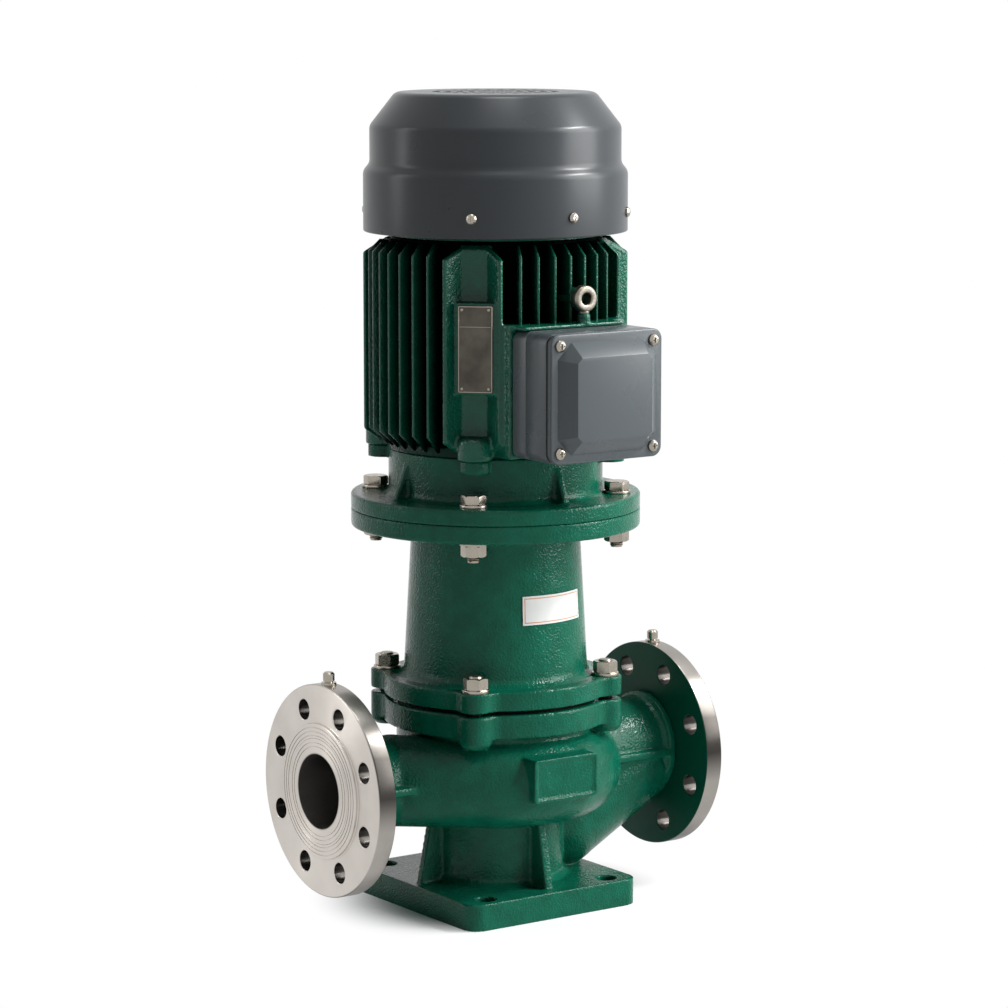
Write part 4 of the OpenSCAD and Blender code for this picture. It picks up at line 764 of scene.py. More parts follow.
def finish(name):
    """The material of that name, made on first use."""
    if name not in FINISHES:
        colours = bpy.context.scene.pump_colours
        shaft_line = ((0, 0, 0), (0, 0, 1))
        port_line = ((0, 0, PORT_HEIGHT * MM), (1, 0, 0))
        makers = {
            # Deep wet green that breaks into glints over the casting's sand grain
            "enamel": lambda: cast_enamel("gloss_enamel_on_cast_iron"),
            # The same green, near black between the fins as painted shade
            "frame_enamel": lambda: cast_enamel("gloss_enamel_painted_shade_between_fins", 93 * MM, 97 * MM),
            # The same green along the fins' tips, fading to black at their roots as painted shade
            "fin_enamel": lambda: cast_enamel("gloss_enamel_painted_shade_at_fin_roots", 96 * MM, 113 * MM),
            # Warm silver whose highlight runs out in rays from the bore, as facing on a lathe leaves it
            "flange": lambda: turned_metal(
                "turned_flange_steel", colours.turned_steel, *port_line, 0.33, painted_back=True
            ),
            # The same silver on the lip, and painted shade down the bore
            "sleeve": lambda: turned_metal(
                "bored_stainless_sleeve", colours.turned_steel, *port_line, 0.34, bore_r=32.5 * MM
            ),
            # Small crisp highlights that pick the fasteners out of the green
            "plated": lambda: plain_metal("bright_plated_steel", "#a39c91", 0.22, 0.9),
            # Mirror finish that shows a bearing seat at once
            "ground": lambda: turned_metal("ground_bearing_steel", linear("#c4c6c8"), *shaft_line, 0.18),
            # Duller and rougher than the bolts, as a forging is under its plating
            "forged": lambda: plain_metal("plated_rough_forging", "#8d877c", 0.34, 0.6, 1.4),
            # Grey ends over the nuts, and painted shade, near black, in the casing's joint
            "stud": lambda: plain_metal("rolled_stud_steel", "#8a847a", 0.3, 0.85, shade_band=(183, 190)),
            # Near black as painted shade, so that nothing shines in the casing's joint
            "joint_shade_black": lambda: plain_metal("steel_black_as_painted_joint_shade", "#1b1a19", 0.45, 0.8),
            # Darker drawn surface, so that wire and clips don't look machined
            "spring": lambda: plain_metal("drawn_spring_steel", "#8f8d88", 0.3),
            # Brown-gold and coarse, as a casting that water has run over
            "bronze": lambda: plain_metal("cast_tin_bronze", "#a87f45", 0.42, 0.6, 2.4),
            # Clean yellow that marks the live parts
            "brass": lambda: plain_metal("turned_brass", "#c09a4e", 0.25),
            # Warm lines of wire under a gloss
            "copper": lambda: lacquered_copper("lacquered_copper_wire", "#5a2c14", "#b5683a"),
            # Thin dark lines that show a core is a stack
            "sheets": lambda: stacked_sheets("punched_core_sheets", "#7c7a78"),
            # Blue-grey, with a broad soft sheen that shows the lid's slopes
            "box_paint": lambda: satin_paint("satin_grey_powder_coat", colours.box_paint, 0.28),
            # Darker and smoother than the box, with one tall band of light
            "cowl_paint": lambda: satin_paint("satin_slate_powder_coat", colours.cowl_paint, 0.3),
            # Dead black that sets a joint off
            "rubber": lambda: moulded("moulded_black_rubber", "#0b0b0b", 0.85, 0.9, 0.1, 1.12),
            # Soft black sheen of a moulded fan
            "nylon": lambda: moulded("moulded_black_nylon", "#1d1e20", 0.45, 1.6, 0.08, 1.53),
            # Brown-black with a hard gloss
            "phenolic": lambda: moulded("pressed_black_phenolic", "#201a17", 0.35, 2.0, 0.05, 1.6),
            # Charcoal with a lapped gleam
            "carbon": lambda: moulded("pressed_seal_carbon", "#232323", 0.3, 0.8, 0.03, 1.8),
            # Ivory white with a glassy gleam
            "ceramic": lambda: moulded("sintered_alumina", "#ded8c8", 0.22, 1.2, 0.02, 1.76),
            # The one pale thing on the green barrel
            "film": lambda: label_film("white_label_film", "#b6b7b4", "#cbccca"),
            # Brownish plate, duller than the screws round it
            "plate": lambda: brushed_plate("aged_brushed_steel_plate", "#45423d", "#58544d", "#8f897e"),
        }
        FINISHES[name] = makers[name]()
    return FINISHES[name]


# The finish of each node, also of those that a piece stands for
CARRIED = {
    "flange": ["suction_flange", "discharge_flange"],
    "sleeve": ["suction_sleeve", "discharge_sleeve"],
    "plated": [
        "suction_gauge_plug",
        "discharge_gauge_plug",
        "rear_shield_screws",
        "seal_collar",
        "impeller_nut",
        "cover_studs",
        "cover_washers",
        "cover_nuts",
        "flange_bolts",
        "flange_washers",
        "flange_nuts",
        "cowl_screws",
        "lid_screws",
        "lifting_eye",
    ],
    "ground": [
        "motor_shaft",
        "drive_bearing_outer_ring",
        "rear_bearing_outer_ring",
        "drive_bearing_inner_ring",
        "rear_bearing_inner_ring",
        "drive_bearing_balls",
        "rear_bearing_balls",
    ],
    "spring": ["seal_spring", "bearing_preload_spring", "fan_circlip", "impeller_key"],
    "bronze": ["eye_wear_ring", "impeller"],
    "brass": ["terminal_studs", "drive_bearing_cage", "rear_bearing_cage"],
    "joint_shade_black": ["seal_plate"],
    "ceramic": ["seal_seat"],
    "carbon": ["seal_face_ring"],
    "rubber": ["casing_gasket", "terminal_box_gasket", "shaft_lip_seal", "slinger_ring"],
    "nylon": ["cooling_fan"],
    "phenolic": ["terminal_block"],
    "copper": ["stator_windings"],
    "sheets": ["stator_core", "rotor_core"],
    "enamel": [
        "rear_end_shield",
        "frame_screws",
        "pump_casing",
        "lantern",
        "drive_end_shield",
        "motor_frame",
    ],
    "cowl_paint": ["fan_grille", "fan_cowl"],
    "film": ["lantern_label"],
    "plate": ["motor_nameplate"],
    "box_paint": ["terminal_box_seat", "terminal_box", "terminal_box_lid"],
}


class PUMP_OT_stage(bpy.types.Operator):
    """Puts up the floor, the lamps, the world and the camera"""

    bl_idname = "pump.stage"
    bl_label = "Stage"

    def execute(self, context):
        self.floor()
        self.world()
        self.lamp("key_softbox", (2.05, -1.8, 1.4), (0, 0, 0.4), 1.9, 2.0, 122)
        self.lamp("fill_softbox", (-2.1, 1.6, 1.2), (0, 0, 0.35), 0.5, 2.0, 12)
        self.lamp("high_softbox", (1.47, -0.98, 2.1), (0, 0, 0.2), 0.7, 0.25, 50)
        self.lamp("top_softbox", (0.1, -0.1, 2.4), (0, 0, 0.3), 0.6, 0.6, 13)
        self.camera(context.scene)
        context.scene.view_settings.view_transform = "Standard"
        return {"FINISHED"}

    def camera(self, scene):
        """A long lens that aims at half the pump's height, a little right of its shaft."""
        eye = Vector((-1.8041, -2.5847, 0.8172))
        sideways = math.radians(-35.05)
        right = Vector((math.cos(sideways), math.sin(sideways), 0))
        target = right * 7.43 * MM + Vector((0, 0, 354.19 * MM))
        data = bpy.data.cameras.new("camera")
        data.sensor_width = 36
        data.lens = 129.36
        camera = bpy.data.objects.new("camera", data)
        camera.location = eye
        camera.rotation_euler = (target - eye).to_track_quat("-Z", "Y").to_euler()
        scene.collection.objects.link(camera)
        scene.camera = camera

    def backdrop_rays(self, tree):
        """One for the rays of camera, metal and glass, which see white, and nothing for the others."""
        path = add(tree, "ShaderNodeLightPath").outputs
        direct = {0: path["Is Camera Ray"], 1: path["Is Glossy Ray"]}
        direct = add(tree, "ShaderNodeMath", direct, operation="MAXIMUM").outputs[0]
        through = {0: direct, 1: path["Is Transmission Ray"]}
        return add(tree, "ShaderNodeMath", through, operation="MAXIMUM").outputs[0]

    def floor(self):
        """A plain pale floor that fades to white away from the pump."""
        shape = bmesh.new()
        bmesh.ops.create_circle(shape, cap_ends=True, radius=6.0, segments=96)
        floor = finish_shape(shape, "floor")
        material = bpy.data.materials.new("matt_white_floor")
        material.use_nodes = True
        tree = material.node_tree
        tree.nodes.clear()
        spot = add(tree, "ShaderNodeTexCoord").outputs["Object"]
        away = add(tree, "ShaderNodeVectorMath", {0: spot}, operation="LENGTH").outputs["Value"]
        edge = {0: away, 1: 0.09, 2: 0.17}
        fade = add(tree, "ShaderNodeMapRange", edge, interpolation_type="SMOOTHSTEP").outputs[0]
        white_share = {0: self.backdrop_rays(tree), 1: fade}
        share = add(tree, "ShaderNodeMath", white_share, operation="MULTIPLY").outputs[0]
        matt = add(tree, "ShaderNodeBsdfDiffuse", {"Color": (0.86, 0.86, 0.86, 1)}).outputs[0]
        white = add(tree, "ShaderNodeEmission", {"Color": (1, 1, 1, 1), "Strength": 1.0}).outputs[0]
        mixed = add(tree, "ShaderNodeMixShader", {0: share, 1: matt, 2: white}).outputs[0]
        add(tree, "ShaderNodeOutputMaterial", {"Surface": mixed})
        floor.data.materials.append(material)

    def world(self):
        """White where the camera, metal and glass see it, and softer as a light."""
        world = bpy.data.worlds.new("studio")
        bpy.context.scene.world = world
        world.use_nodes = True
        tree = world.node_tree
        tree.nodes.clear()
        dim = {"Color": (0.115, 0.12, 0.125, 1), "Strength": 1.0}
        soft = add(tree, "ShaderNodeBackground", dim).outputs[0]
        white = add(tree, "ShaderNodeBackground", {"Color": (1, 1, 1, 1), "Strength": 1.0}).outputs[0]
        seen = self.backdrop_rays(tree)
        mixed = add(tree, "ShaderNodeMixShader", {0: seen, 1: soft, 2: white}).outputs[0]
        add(tree, "ShaderNodeOutputWorld", {"Surface": mixed})

    def lamp(self, name, where, aim, width, height, power):
        """A soft rectangular lamp that looks at a point."""
        data = bpy.data.lights.new(name, "AREA")
        data.shape = "RECTANGLE"
        data.size = width
        data.size_y = height
        data.energy = power
        lamp = bpy.data.objects.new(name, data)
        lamp.location = where
        lamp.rotation_euler = (Vector(aim) - Vector(where)).to_track_quat("-Z", "Y").to_euler()
        bpy.context.scene.collection.objects.link(lamp)


class PUMP_OT_carried_parts(bpy.types.Operator):
    """Gives each CAD part that stays its finish"""

    bl_idname = "pump.carried_parts"
    bl_label = "Carried parts"

    def execute(self, context):
        finishes = {node: name for name, nodes in CARRIED.items() for node in nodes}
        for node, obj in NODES.items():
            material = finish(finishes[node])
            for slot in obj.material_slots:
                slot.material = material
        return {"FINISHED"}


class PUMP_OT_castings(bpy.types.Operator):
    """Rounds the pump casing, the lantern and the drive end shield as castings are"""

    bl_idname = "pump.castings"
    bl_label = "Castings"

    def execute(self, context):
        for node, passes in (("pump_casing", 3), ("lantern", 2), ("drive_end_shield", 2)):
            piece = foundry_round(merged_copy(node, node + "_casting"), passes)
            place(piece, "pump", finish("enamel"), "green_cast", node)
        self.plaque()
        return {"FINISHED"}

    def plaque(self):
        """The raised frame of the plaque on the belly."""
        front, depth, edge = -114, 1.6, 0.7
        middle_x, middle_z = -5, PORT_HEIGHT + 9
        outer, inner = (67, 38, 3), (61, 32, 2)
        # Each section is a rectangle, how far it grows, and how far it lies behind the front
        sections = [
            (outer, 0, depth),
            (outer, 0, edge),
            (outer, -0.3 * edge, 0.3 * edge),
            (outer, -edge, 0),
            (inner, edge, 0),
            (inner, 0.3 * edge, 0.3 * edge),
            (inner, 0, edge),
            (inner, 0, depth),
        ]
        loops = []
        for (width, height, corner), grow, back in sections:
            flat = rounded_rectangle(width + 2 * grow, height + 2 * grow, corner + grow)
            loops.append(metres((x + middle_x, front + back, z + middle_z) for x, z in flat))
        shape = bmesh.new()
        skin(shape, loops, closed=True)
        piece = shade(finish_shape(shape, "belly_plaque_frame"))
        place(piece, "pump", finish("enamel"), "green_cast")


class PUMP_OT_pipe_flanges(bpy.types.Operator):
    """Turns the two pipe flanges and drills their holes, with broken edges"""

    bl_idname = "pump.pipe_flanges"
    bl_label = "Pipe flanges"

    def execute(self, context):
        for side, name in ((0, "suction_flange"), (180, "discharge_flange")):
            piece = cut(self.blank(name + "_turned"), self.drills())
            piece.data.transform(about_shaft(side) @ at(FLANGE_BACK, 0, PORT_HEIGHT) @ TO_PORT)
            place(shade(piece, 35), "pump", finish("flange"), "turned_steel", name)
        return {"FINISHED"}

    def blank(self, name):
        """The flange before drilling: its axis is Z and its back is at Z = 0."""
        outline = [(41.15, 0, 0.3), (92.5, 0, 1.2), (92.5, 17, 1.4), (59, 17, 0.8), (59, 20, 1.0)]
        for groove in (55.5, 52.0, 48.5):
            out, into = groove + 0.4, groove - 0.4
            outline += [(out, 20, 0), (out, 19.4, 0), (into, 19.4, 0), (into, 20, 0)]
        outline += [(46.15, 20, 0.2), (46.15, 17, 0), (41.15, 17, 0)]
        return turned_piece(name, outline, 192, arc=4)

    def drills(self):
        """Eight drills with countersinks for both faces, and one for the gauge plug in the rim."""
        shape = bmesh.new()
        drill = [(0, -1), (10.7, -1), (9, 0.7), (9, 16.3), (10.7, 18), (0, 18)]
        for i in range(8):
            lathe_mm(shape, drill, 48, False, about_shaft(22.5 + 45 * i) @ at(PIPE_BOLT_R, 0, 0))
        radial = at(0, 0, 8.5) @ Matrix.Rotation(-math.pi / 2, 4, "Y")
        lathe_mm(shape, [(0, 83.35), (3.65, 83.35), (3.65, 94), (0, 94)], 32, False, radial)
        return finish_shape(shape, "drills")


class PUMP_OT_motor_frame(bpy.types.Operator):
    """Casts the motor's frame, and stands the cooling fins round it in banks"""

    bl_idname = "pump.motor_frame"
    bl_label = "Motor frame"

    def execute(self, context):
        shape = bmesh.new()
        barrel = [(84, 406), (95, 406), (95, 415), (92, 416.5), (92, 592), (84, 592)]
        lathe_mm(shape, barrel, 160)
        self.panels(shape)
        self.box_seat(shape)
        body = foundry_round(finish_shape(shape, "motor_frame_casting"), 2)
        place(body, "pump", finish("frame_enamel"), "green_cast", "motor_frame")
        # The bank over the terminal box starts above the box
        banks = [self.fin_banks(context, 3, 0, 410), self.fin_banks(context, 1, 270, 522)]
        fins = joined("motor_frame_fins", banks)
        place(shade(fins, 40), "pump", finish("fin_enamel"), "green_cast", "motor_frame")
        return {"FINISHED"}

    def panels(self, shape):
        """Four channelled panels, a screw lug under each, and the nameplate's pad."""
        panel = bmesh.new()
        section = [(87, -14.5), (97, -13), (111, -26.5), (113.5, -23.5), (100, -10.5)]
        section += [(r, -y) for r, y in reversed(section)]
        prism(panel, metres(section), 410 * MM, 589 * MM)
        slice_off(panel, (98 * MM, 0, 410 * MM), Vector((15, 0, -18)))
        slice_off(panel, (95 * MM, 0, 589 * MM), Vector((15, 0, 21)))
        panel_mesh = bpy.data.meshes.new("panel")
        panel.to_mesh(panel_mesh)
        panel.free()
        lug = [(0, 406), (15, 406), (15, 423), (12, 426), (0, 426)]
        for angle in (45, 135, 225, 315):
            add_mesh(shape, panel_mesh, about_shaft(angle))
            lathe_mm(shape, lug, 40, False, about_shaft(angle) @ at(101, 0, 0))
        bpy.data.meshes.remove(panel_mesh)
        pad = metres([(97, -14.3, 0), (111.4, -14.3, 0), (111.4, 19.7, 0), (97, 19.7, 0)])
        turned = [about_shaft(PLATE_ANGLE) @ Vector(corner) for corner in pad]
        prism(shape, [(v.x, v.y) for v in turned], 463 * MM, 541 * MM)

    def box_seat(self, shape):
        """The flat seat behind the terminal box, its ledge and the eyebolt's two bosses."""
        seat, ledge = (-107.3, -60, 60, 409.5), (-124.4, -57, 48, 519.9)
        for front, left, right, low in (seat, ledge):
            # The back follows the barrel just under its skin
            back = [(x, -math.sqrt(88**2 - x**2)) for x in (right, 40, 20, 0, -20, -40, left)]
            outline = [(left, front), (right, front)] + back
            prism(shape, metres(outline), low * MM, 522.9 * MM)
        boss = [(0, 520), (5.6, 520), (5.6, EYEBOLT_SEAT), (0, EYEBOLT_SEAT)]
        lathe_mm(shape, boss, 32, False, at(EYEBOLT_X, EYEBOLT_Y, 0))
        stub = [(0, 86), (9, 86), (9, 113.7), (0, 113.7)]
        lathe_mm(shape, stub, 40, False, at(EYEBOLT_X - 1, 0, EYEBOLT_Z) @ TO_BOX)

    def fin_banks(self, context, banks, first, low):
        """Banks of fins, each fin with a drafted blade and a fillet along its root."""
        sizes = context.scene.pump_sizes
        tip = sizes.fin_thickness / 2
        root = tip + 0.5 * MM
        # The bank over the terminal box has no slope at its foot
        foot = [(112, low)] if banks == 1 else [(95, low), (112, low + 15)]
        blade = [(90, low), *foot, (112, 579), (102, 589), (90, 589)]
        shape = bmesh.new()
        sides = []
        for side in (-1, 1):
            sides.append([(r * MM, side * (tip if r > 100 else root), z * MM) for r, z in blade])
        skin(shape, sides)
        template = bevel(finish_shape(shape, "fin"), 0.9 * MM, 3, 50)
        fillet = bmesh.new()
        wedge = [(90, 4), (91.8, 3.6), (92.8, 2.5), (94.5, 1.7), (97, 1.4)]
        wedge += [(r, -y) for r, y in reversed(wedge)]
        prism(fillet, metres(wedge), (low + 2) * MM, 588 * MM)
        template = joined("fin", [template, finish_shape(fillet, "fin_root")])
        values = {
            "Part": template,
            "Banks": banks,
            "Per bank": sizes.fins_per_bank,
            "Pitch": 8.0,
            "Bank step": 90.0,
            "First angle": float(first),
            "Radius": 0.0,
            "Follow": 1.0,
            "Material": finish("fin_enamel"),
        }
        made = run_tree(shaft_banks_tree(), "fins", values)
        bpy.data.objects.remove(template)
        return made


class PUMP_OT_terminal_box(bpy.types.Operator):
    """Moulds the terminal box: seat, body and lid with its raised panel"""

    bl_idname = "pump.terminal_box"
    bl_label = "Terminal box"

    def loops(self, sections):
        """Rounded rectangles of the box from (depth, inset) in millimetres."""
        made = []
        for depth, inset in sections:
            flat = rounded_rectangle(116 - 2 * inset, 109 - 2 * inset, max(9 - inset, 0.8))
            made.append(metres((x, -depth, z + BOX_MIDDLE) for x, z in flat))
        return made

    def execute(self, context):
        seat = bmesh.new()
        back = [(107.4, 1.4), (107.7, 0.7), (108.1, 0.3), (108.9, 0.05)]
        front = [(126.9, 0), (127.25, 0.1), (127.4, 0.4), (127.4, 4.4), (111.9, 4.5)]
        skin(seat, self.loops(back + front))
        wires = [(0, 100), (14, 100), (14, 120), (0, 120)]
        hole = turned_piece("wire_hole", wires, 48, False, at(0, 0, BOX_MIDDLE) @ TO_BOX)
        piece = cut(finish_shape(seat, "terminal_box_seat_moulding"), hole)
        place(shade(piece, 35), "pump", finish("box_paint"), "grey_paint", "terminal_box_seat")

        body = bmesh.new()
        outer = [(127.45, 0.5), (127.55, 0.15), (127.9, 0.02), (155.6, 0.0), (156.2, 0.2), (156.4, 0.7)]
        skin(body, self.loops(outer + [(156.4, 4.5), (127.45, 4.5)]), closed=True)
        entry = [(0, 400), (12.5, 400), (12.5, 430), (0, 430)]
        hole = turned_piece("cable_entry_hole", entry, 48, False, at(0, -141.4, 0))
        piece = cut(finish_shape(body, "terminal_box_moulding"), hole)
        place(shade(piece, 35), "pump", finish("box_paint"), "grey_paint", "terminal_box")
        self.lid(context)
        return {"FINISHED"}

    def lid(self, context):
        """A rim with rounded edges and an eight-sided panel that slopes in to a flat top."""
        edge = context.scene.pump_sizes.lid_edge / MM
        rim = bmesh.new()
        sections = [(157.4, 1.1), (157.5, 0.8), (158.9, 0.7), (159.3, 0.2), (159.7, 0.0)]
        for k in range(6):
            swing = math.pi / 2 * k / 5
            sections.append((LID_FACE - edge * (1 - math.sin(swing)), edge * (1 - math.cos(swing))))
        skin(rim, self.loops(sections))
        rim_piece = shade(finish_shape(rim, "lid_rim"), 40)
        dome = bmesh.new()
        foot = [self.octagon(102, 95, 14, depth) for depth in (LID_FACE - 0.4, LID_FACE)]
        skin(dome, foot + [self.octagon(77.4, 70.4, 4.5, 175.38)])
        dome_piece = bevel(finish_shape(dome, "lid_dome"), edge * MM, 4, 12)
        lid = joined("terminal_box_lid_moulding", [rim_piece, dome_piece])
        place(shade(lid, 35), "pump", finish("box_paint"), "grey_paint", "terminal_box_lid")

    def octagon(self, width, height, corner, depth):
        """A rectangle with cut corners, at a depth from the shaft."""
        x, z = width / 2, height / 2
        quarter = [(x, z - corner), (x - corner, z)]
        half = quarter + [(-px, pz) for px, pz in reversed(quarter)]
        flat = half + [(-px, -pz) for px, pz in half]
        return metres((px, -depth, pz + BOX_MIDDLE) for px, pz in flat)


class PUMP_OT_fan_cowl(bpy.types.Operator):
    """Spins the fan cowl with rounded bends"""

    bl_idname = "pump.fan_cowl"
    bl_label = "Fan cowl"

    def execute(self, context):
        bend = context.scene.pump_sizes.cowl_edge / MM
        outside = [
            (113.5, 595, 0.2),
            (COWL_R, 595, 1.2),
            (COWL_R, 647, bend),
            (109.3, 654, bend),
            (109.3, 686, bend),
            (86.7, 715, bend),
            (66, 715, 0.3),
        ]
        inside = [
            (66, 713.5, 0.3),
            (86.1, 713.5, bend - 1.4),
            (107.8, 685.4, bend - 1.4),
            (107.8, 653.4, bend),
            (113.5, 646.4, bend - 1.4),
        ]
        piece = turned_piece("fan_cowl_pressing", outside + inside, 192, arc=6)
        place(shade(piece, 40), "pump", finish("cowl_paint"), "grey_paint", "fan_cowl")
        return {"FINISHED"}


class PUMP_OT_fasteners(bpy.types.Operator):
    """Sets the bolts, studs, nuts, washers and screws"""

    bl_idname = "pump.fasteners"
    bl_label = "Fasteners"

    corner_r = 10.97 * MM

    def hexagon(self, height, name):
        """A hexagon whose corners are chamfered on both faces."""
        shape = bmesh.new()
        angles = [math.pi / 3 * i for i in range(6)]
        flat = [(self.corner_r * math.cos(a), self.corner_r * math.sin(a)) for a in angles]
        prism(shape, flat, 0, height)
        piece = finish_shape(shape, name)
        turned = bmesh.new()
        low, wide, rise = 0.88 * self.corner_r, 1.03 * self.corner_r, 0.1 * self.corner_r
        edge = [(low, 0), (wide, rise), (wide, height - rise), (low, height)]
        lathe(turned, [(0, 0)] + edge + [(0, height)], 72, False)
        return cut(piece, finish_shape(turned, "chamfer"), "INTERSECT")

    def nut(self):
        """A hexagon nut with a bore."""
        piece = self.hexagon(10 * MM, "nut")
        outline = [(0, -1), (7.0, -1), (7.0, 0), (6.1, 0.9), (6.1, 9.1), (7.0, 10), (7.0, 11), (0, 11)]
        return bevel(cut(piece, turned_piece("bore", outline, 48, False)), 0.2 * MM, 2, 35)

    def threaded(self, low, high, from_z, to_z, name):
        """A shank with thread ridges between two heights and chamfered ends."""
        pitch = bpy.context.scene.pump_sizes.thread_pitch
        crest, groove, tip = 5.95 * MM, 5.25 * MM, 5.0 * MM
        outline = [(0, low), (tip, low)]
        z = from_z
        if from_z > low + pitch:
            outline += [(crest, low + 1.0 * MM), (crest, from_z)]
        while z < to_z - pitch:
            outline += [(groove, z + 0.25 * pitch), (crest, z + 0.75 * pitch)]
            z += pitch
        if to_z < high - pitch:
            outline += [(crest, to_z), (crest, high)]
        outline += [(tip, high), (0, high)]
        shape = bmesh.new()
        lathe(shape, outline, 28, False)
        return finish_shape(shape, name)

    def washer(self):
        """A flat washer with broken edges."""
        outline = [(6.5, 0, 0.2), (12, 0, 0.3), (12, 2.5, 0.5), (6.5, 2.5, 0.3)]
        return turned_piece("washer", outline, 56, arc=3)

    def pan_head(self, radius, rise):
        """A pan head screw with a cross recess."""
        outline = [(0, -4, 0), (2.4, -4, 0), (2.4, 0, 0), (radius, 0, 0.2), (radius, 0.45 * rise, 0.5)]
        outline += [(0.62 * radius, rise, 1.2), (0, rise, 0)]
        piece = turned_piece("pan_head", outline, 40, False, arc=4)
        for turn in (0, math.pi / 2):
            slot = bmesh.new()
            matrix = at(0, 0, rise) @ Matrix.Rotation(turn, 4, "Z")
            size = Matrix.Diagonal((radius * MM, 0.9 * MM, 2.4 * MM, 1))
            bmesh.ops.create_cube(slot, size=1.0, matrix=matrix @ size)
            cut(piece, finish_shape(slot, "slot"))
        return piece

    def ring_of(self, template, name, radius, height, turn=0.0, follow=0.0, first=45.0, banks=4, step=90.0):
        """Copies a template round the shaft."""
        values = {
            "Part": template,
            "Banks": banks,
            "Bank step": step,
            "First angle": first,
            "Radius": radius * MM,
            "Height": height * MM,
            "Turn": turn,
            "Follow": follow,
            "Material": finish("plated"),
        }
        return run_tree(shaft_banks_tree(), name, values)

    def execute(self, context):
        ring_of = self.ring_of
        nut = self.nut()
        washer = self.washer()
        pieces = {
            "cover_nuts": ring_of(nut, "cover_nuts_set", COVER_BOLT_R, 207.5, turn=12),
            "flange_nuts": ring_of(nut, "flange_nuts_set", MOTOR_BOLT_R, 324.5, turn=20),
            "cover_washers": ring_of(washer, "cover_washers_set", COVER_BOLT_R, 205),
        }
        under_head_and_nut = [ring_of(washer, "washers", MOTOR_BOLT_R, z) for z in (367, 334.5)]
        pieces["flange_washers"] = joined("flange_washers_set", under_head_and_nut)
        stud = self.threaded(163.5 * MM, 219 * MM, 204 * MM, 218.4 * MM, "stud")
        pieces["cover_studs"] = ring_of(stud, "cover_studs_set", COVER_BOLT_R, 0)
        head = bevel(self.hexagon(8 * MM, "head"), 0.25 * MM, 2, 35)
        shank = self.threaded(-50 * MM, 1 * MM, -49.4 * MM, -30 * MM, "shank")
        bolt = joined("bolt", [head, shank])
        pieces["flange_bolts"] = ring_of(bolt, "flange_bolts_set", MOTOR_BOLT_R, 369.5, turn=20)

        screw = self.pan_head(4.5, 3.0)
        screw.data.transform(TO_PORT)
        corners = ring_of(screw, "corner_screws", COWL_R, 612, follow=1.0)
        sides = ring_of(screw, "side_screws", COWL_R, 612, follow=1.0, first=90.0, banks=2, step=180.0)
        pieces["cowl_screws"] = joined("cowl_screws_set", [corners, sides])

        lid_screw = self.pan_head(5.0, 3.4)
        lid_screw.data.transform(TO_BOX)
        values = {
            "Part": lid_screw,
            "Width": 97 * MM,
            "Height": 90 * MM,
            "Centre": (0, -LID_FACE * MM, BOX_MIDDLE * MM),
            "Material": finish("plated"),
        }
        pieces["lid_screws"] = run_tree(corners_tree(), "lid_screws_set", values)
        for template in (nut, washer, stud, bolt, screw, lid_screw):
            bpy.data.objects.remove(template)
        for node, piece in pieces.items():
            material = finish("stud" if node == "cover_studs" else "plated")
            place(shade(piece, 30), "pump", material, "bright_steel", node)
        return {"FINISHED"}


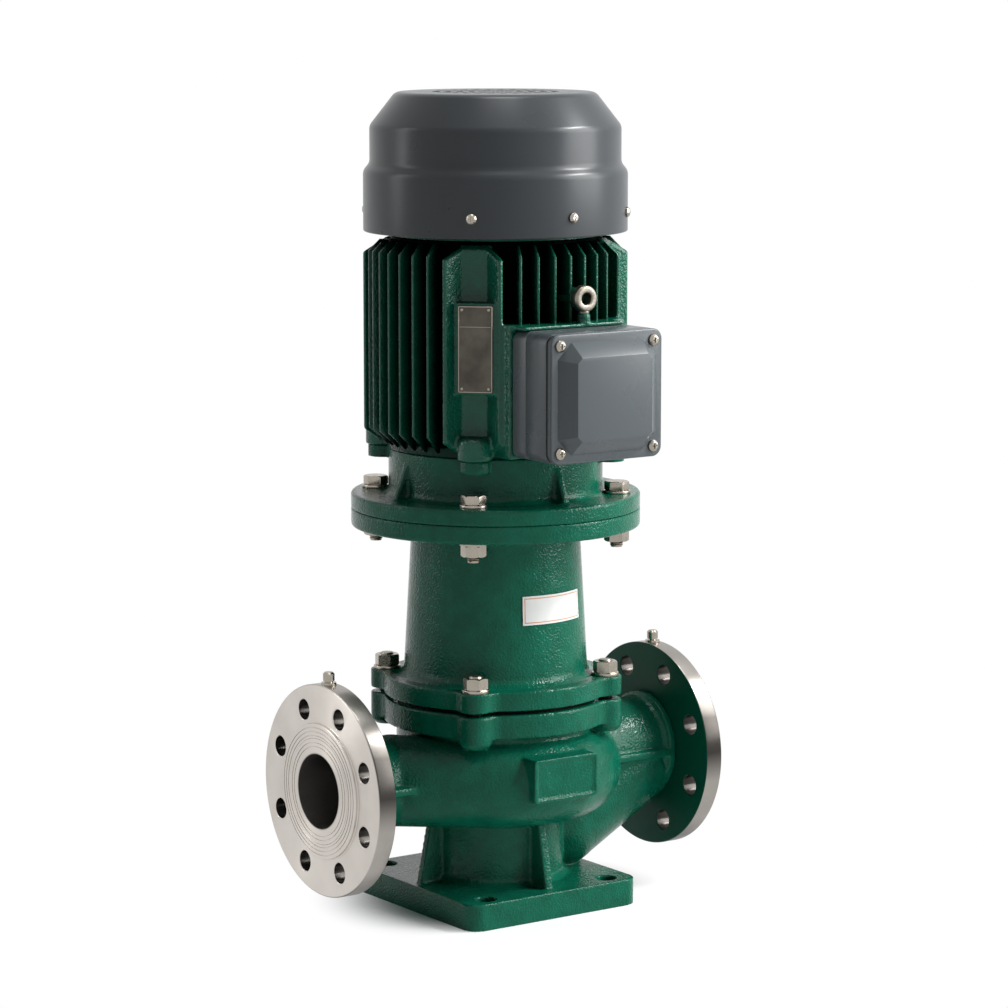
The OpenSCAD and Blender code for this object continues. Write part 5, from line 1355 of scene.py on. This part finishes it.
class PUMP_OT_fittings(bpy.types.Operator):
    """Makes the lifting eye and the nameplate"""

    bl_idname = "pump.fittings"
    bl_label = "Fittings"

    def execute(self, context):
        eye = bmesh.new()
        section = [(4.9, -5, 1.6), (11.5, -5, 2.6), (11.5, 5, 2.6), (4.9, 5, 1.6)]
        across = at(EYEBOLT_X, EYEBOLT_Y, EYEBOLT_Z) @ TO_BOX
        lathe_mm(eye, section, 72, True, across, arc=6)
        stem = [(0, -10, 0), (3.4, -10, 0), (3.4, 0, 0), (4.7, 0.05, 0.3)]
        stem += [(4.7, 2.5, 0.8), (3.6, 3.5, 0), (3.6, 4.1, 0), (0, 4.1, 0)]
        lathe_mm(eye, stem, 40, False, at(EYEBOLT_X, EYEBOLT_Y, EYEBOLT_SEAT), arc=3)
        piece = shade(finish_shape(eye, "lifting_eye_forging"), 35)
        place(piece, "pump", finish("forged"), "bright_steel", "lifting_eye")

        plate = bmesh.new()
        turn = about_shaft(PLATE_ANGLE) @ at(0, 2.7, 502)

        def loop(out, corners):
            """Points (across, up) of the plate at a distance from the shaft, all in millimetres."""
            return [turn @ Vector(point) for point in metres((out, y, z) for y, z in corners)]

        loops = []
        for out, inset in ((111.5, 0.0), (112.4, 0.0), (113.0, 0.5), (113.0, 1.1), (112.5, 1.5)):
            flat = rounded_rectangle(30 - 2 * inset, 74 - 2 * inset, 1.5 - inset, 5)
            loops.append(loop(out, flat))
        skin(plate, loops)
        line = [(-13.3, 18.8), (13.3, 18.8), (13.3, 19.4), (-13.3, 19.4)]
        skin(plate, [loop(112.3, line), loop(112.9, line)])
        rivet = [(0, -0.3, 0), (1.3, -0.3, 0), (1.3, 0.25, 0.3), (0.8, 0.6, 0.4), (0, 0.6, 0)]
        for y in (-11.5, 11.5):
            for z in (-33.5, 33.5):
                lathe_mm(plate, rivet, 20, False, turn @ at(112.6, y, z) @ TO_PORT, arc=3)
        piece = shade(finish_shape(plate, "nameplate_blank"), 35)
        place(piece, "pump", finish("plate"), "dark_steel", "motor_nameplate")
        return {"FINISHED"}


OPERATORS = [
    PUMP_OT_stage,
    PUMP_OT_carried_parts,
    PUMP_OT_castings,
    PUMP_OT_pipe_flanges,
    PUMP_OT_motor_frame,
    PUMP_OT_terminal_box,
    PUMP_OT_fan_cowl,
    PUMP_OT_fasteners,
    PUMP_OT_fittings,
]


class PUMP_PT_panel(bpy.types.Panel):
    """Lists the pump's colours, sizes and pieces"""

    bl_idname = "PUMP_PT_panel"
    bl_label = "Pump"
    bl_space_type = "VIEW_3D"
    bl_region_type = "UI"
    bl_category = "Pump"

    def draw(self, context):
        for group in (context.scene.pump_colours, context.scene.pump_sizes):
            for name in group.bl_rna.properties.keys():
                if name not in ("rna_type", "name"):
                    self.layout.prop(group, name)
        for operator in OPERATORS:
            self.layout.operator(operator.bl_idname)


CLASSES = [PumpColours, PumpSizes, *OPERATORS, PUMP_PT_panel]


def register():
    """Adds the classes and the scene's two groups of settings."""
    for item in CLASSES:
        bpy.utils.register_class(item)
    bpy.types.Scene.pump_colours = PointerProperty(type=PumpColours)
    bpy.types.Scene.pump_sizes = PointerProperty(type=PumpSizes)


def unregister():
    """Takes them away again."""
    del bpy.types.Scene.pump_sizes
    del bpy.types.Scene.pump_colours
    for item in reversed(CLASSES):
        bpy.utils.unregister_class(item)


def main():
    """Builds the looks piece by piece."""
    register()
    for operator in OPERATORS:
        group, name = operator.bl_idname.split(".")
        getattr(getattr(bpy.ops, group), name)()


if __name__ == "__main__":
    main()
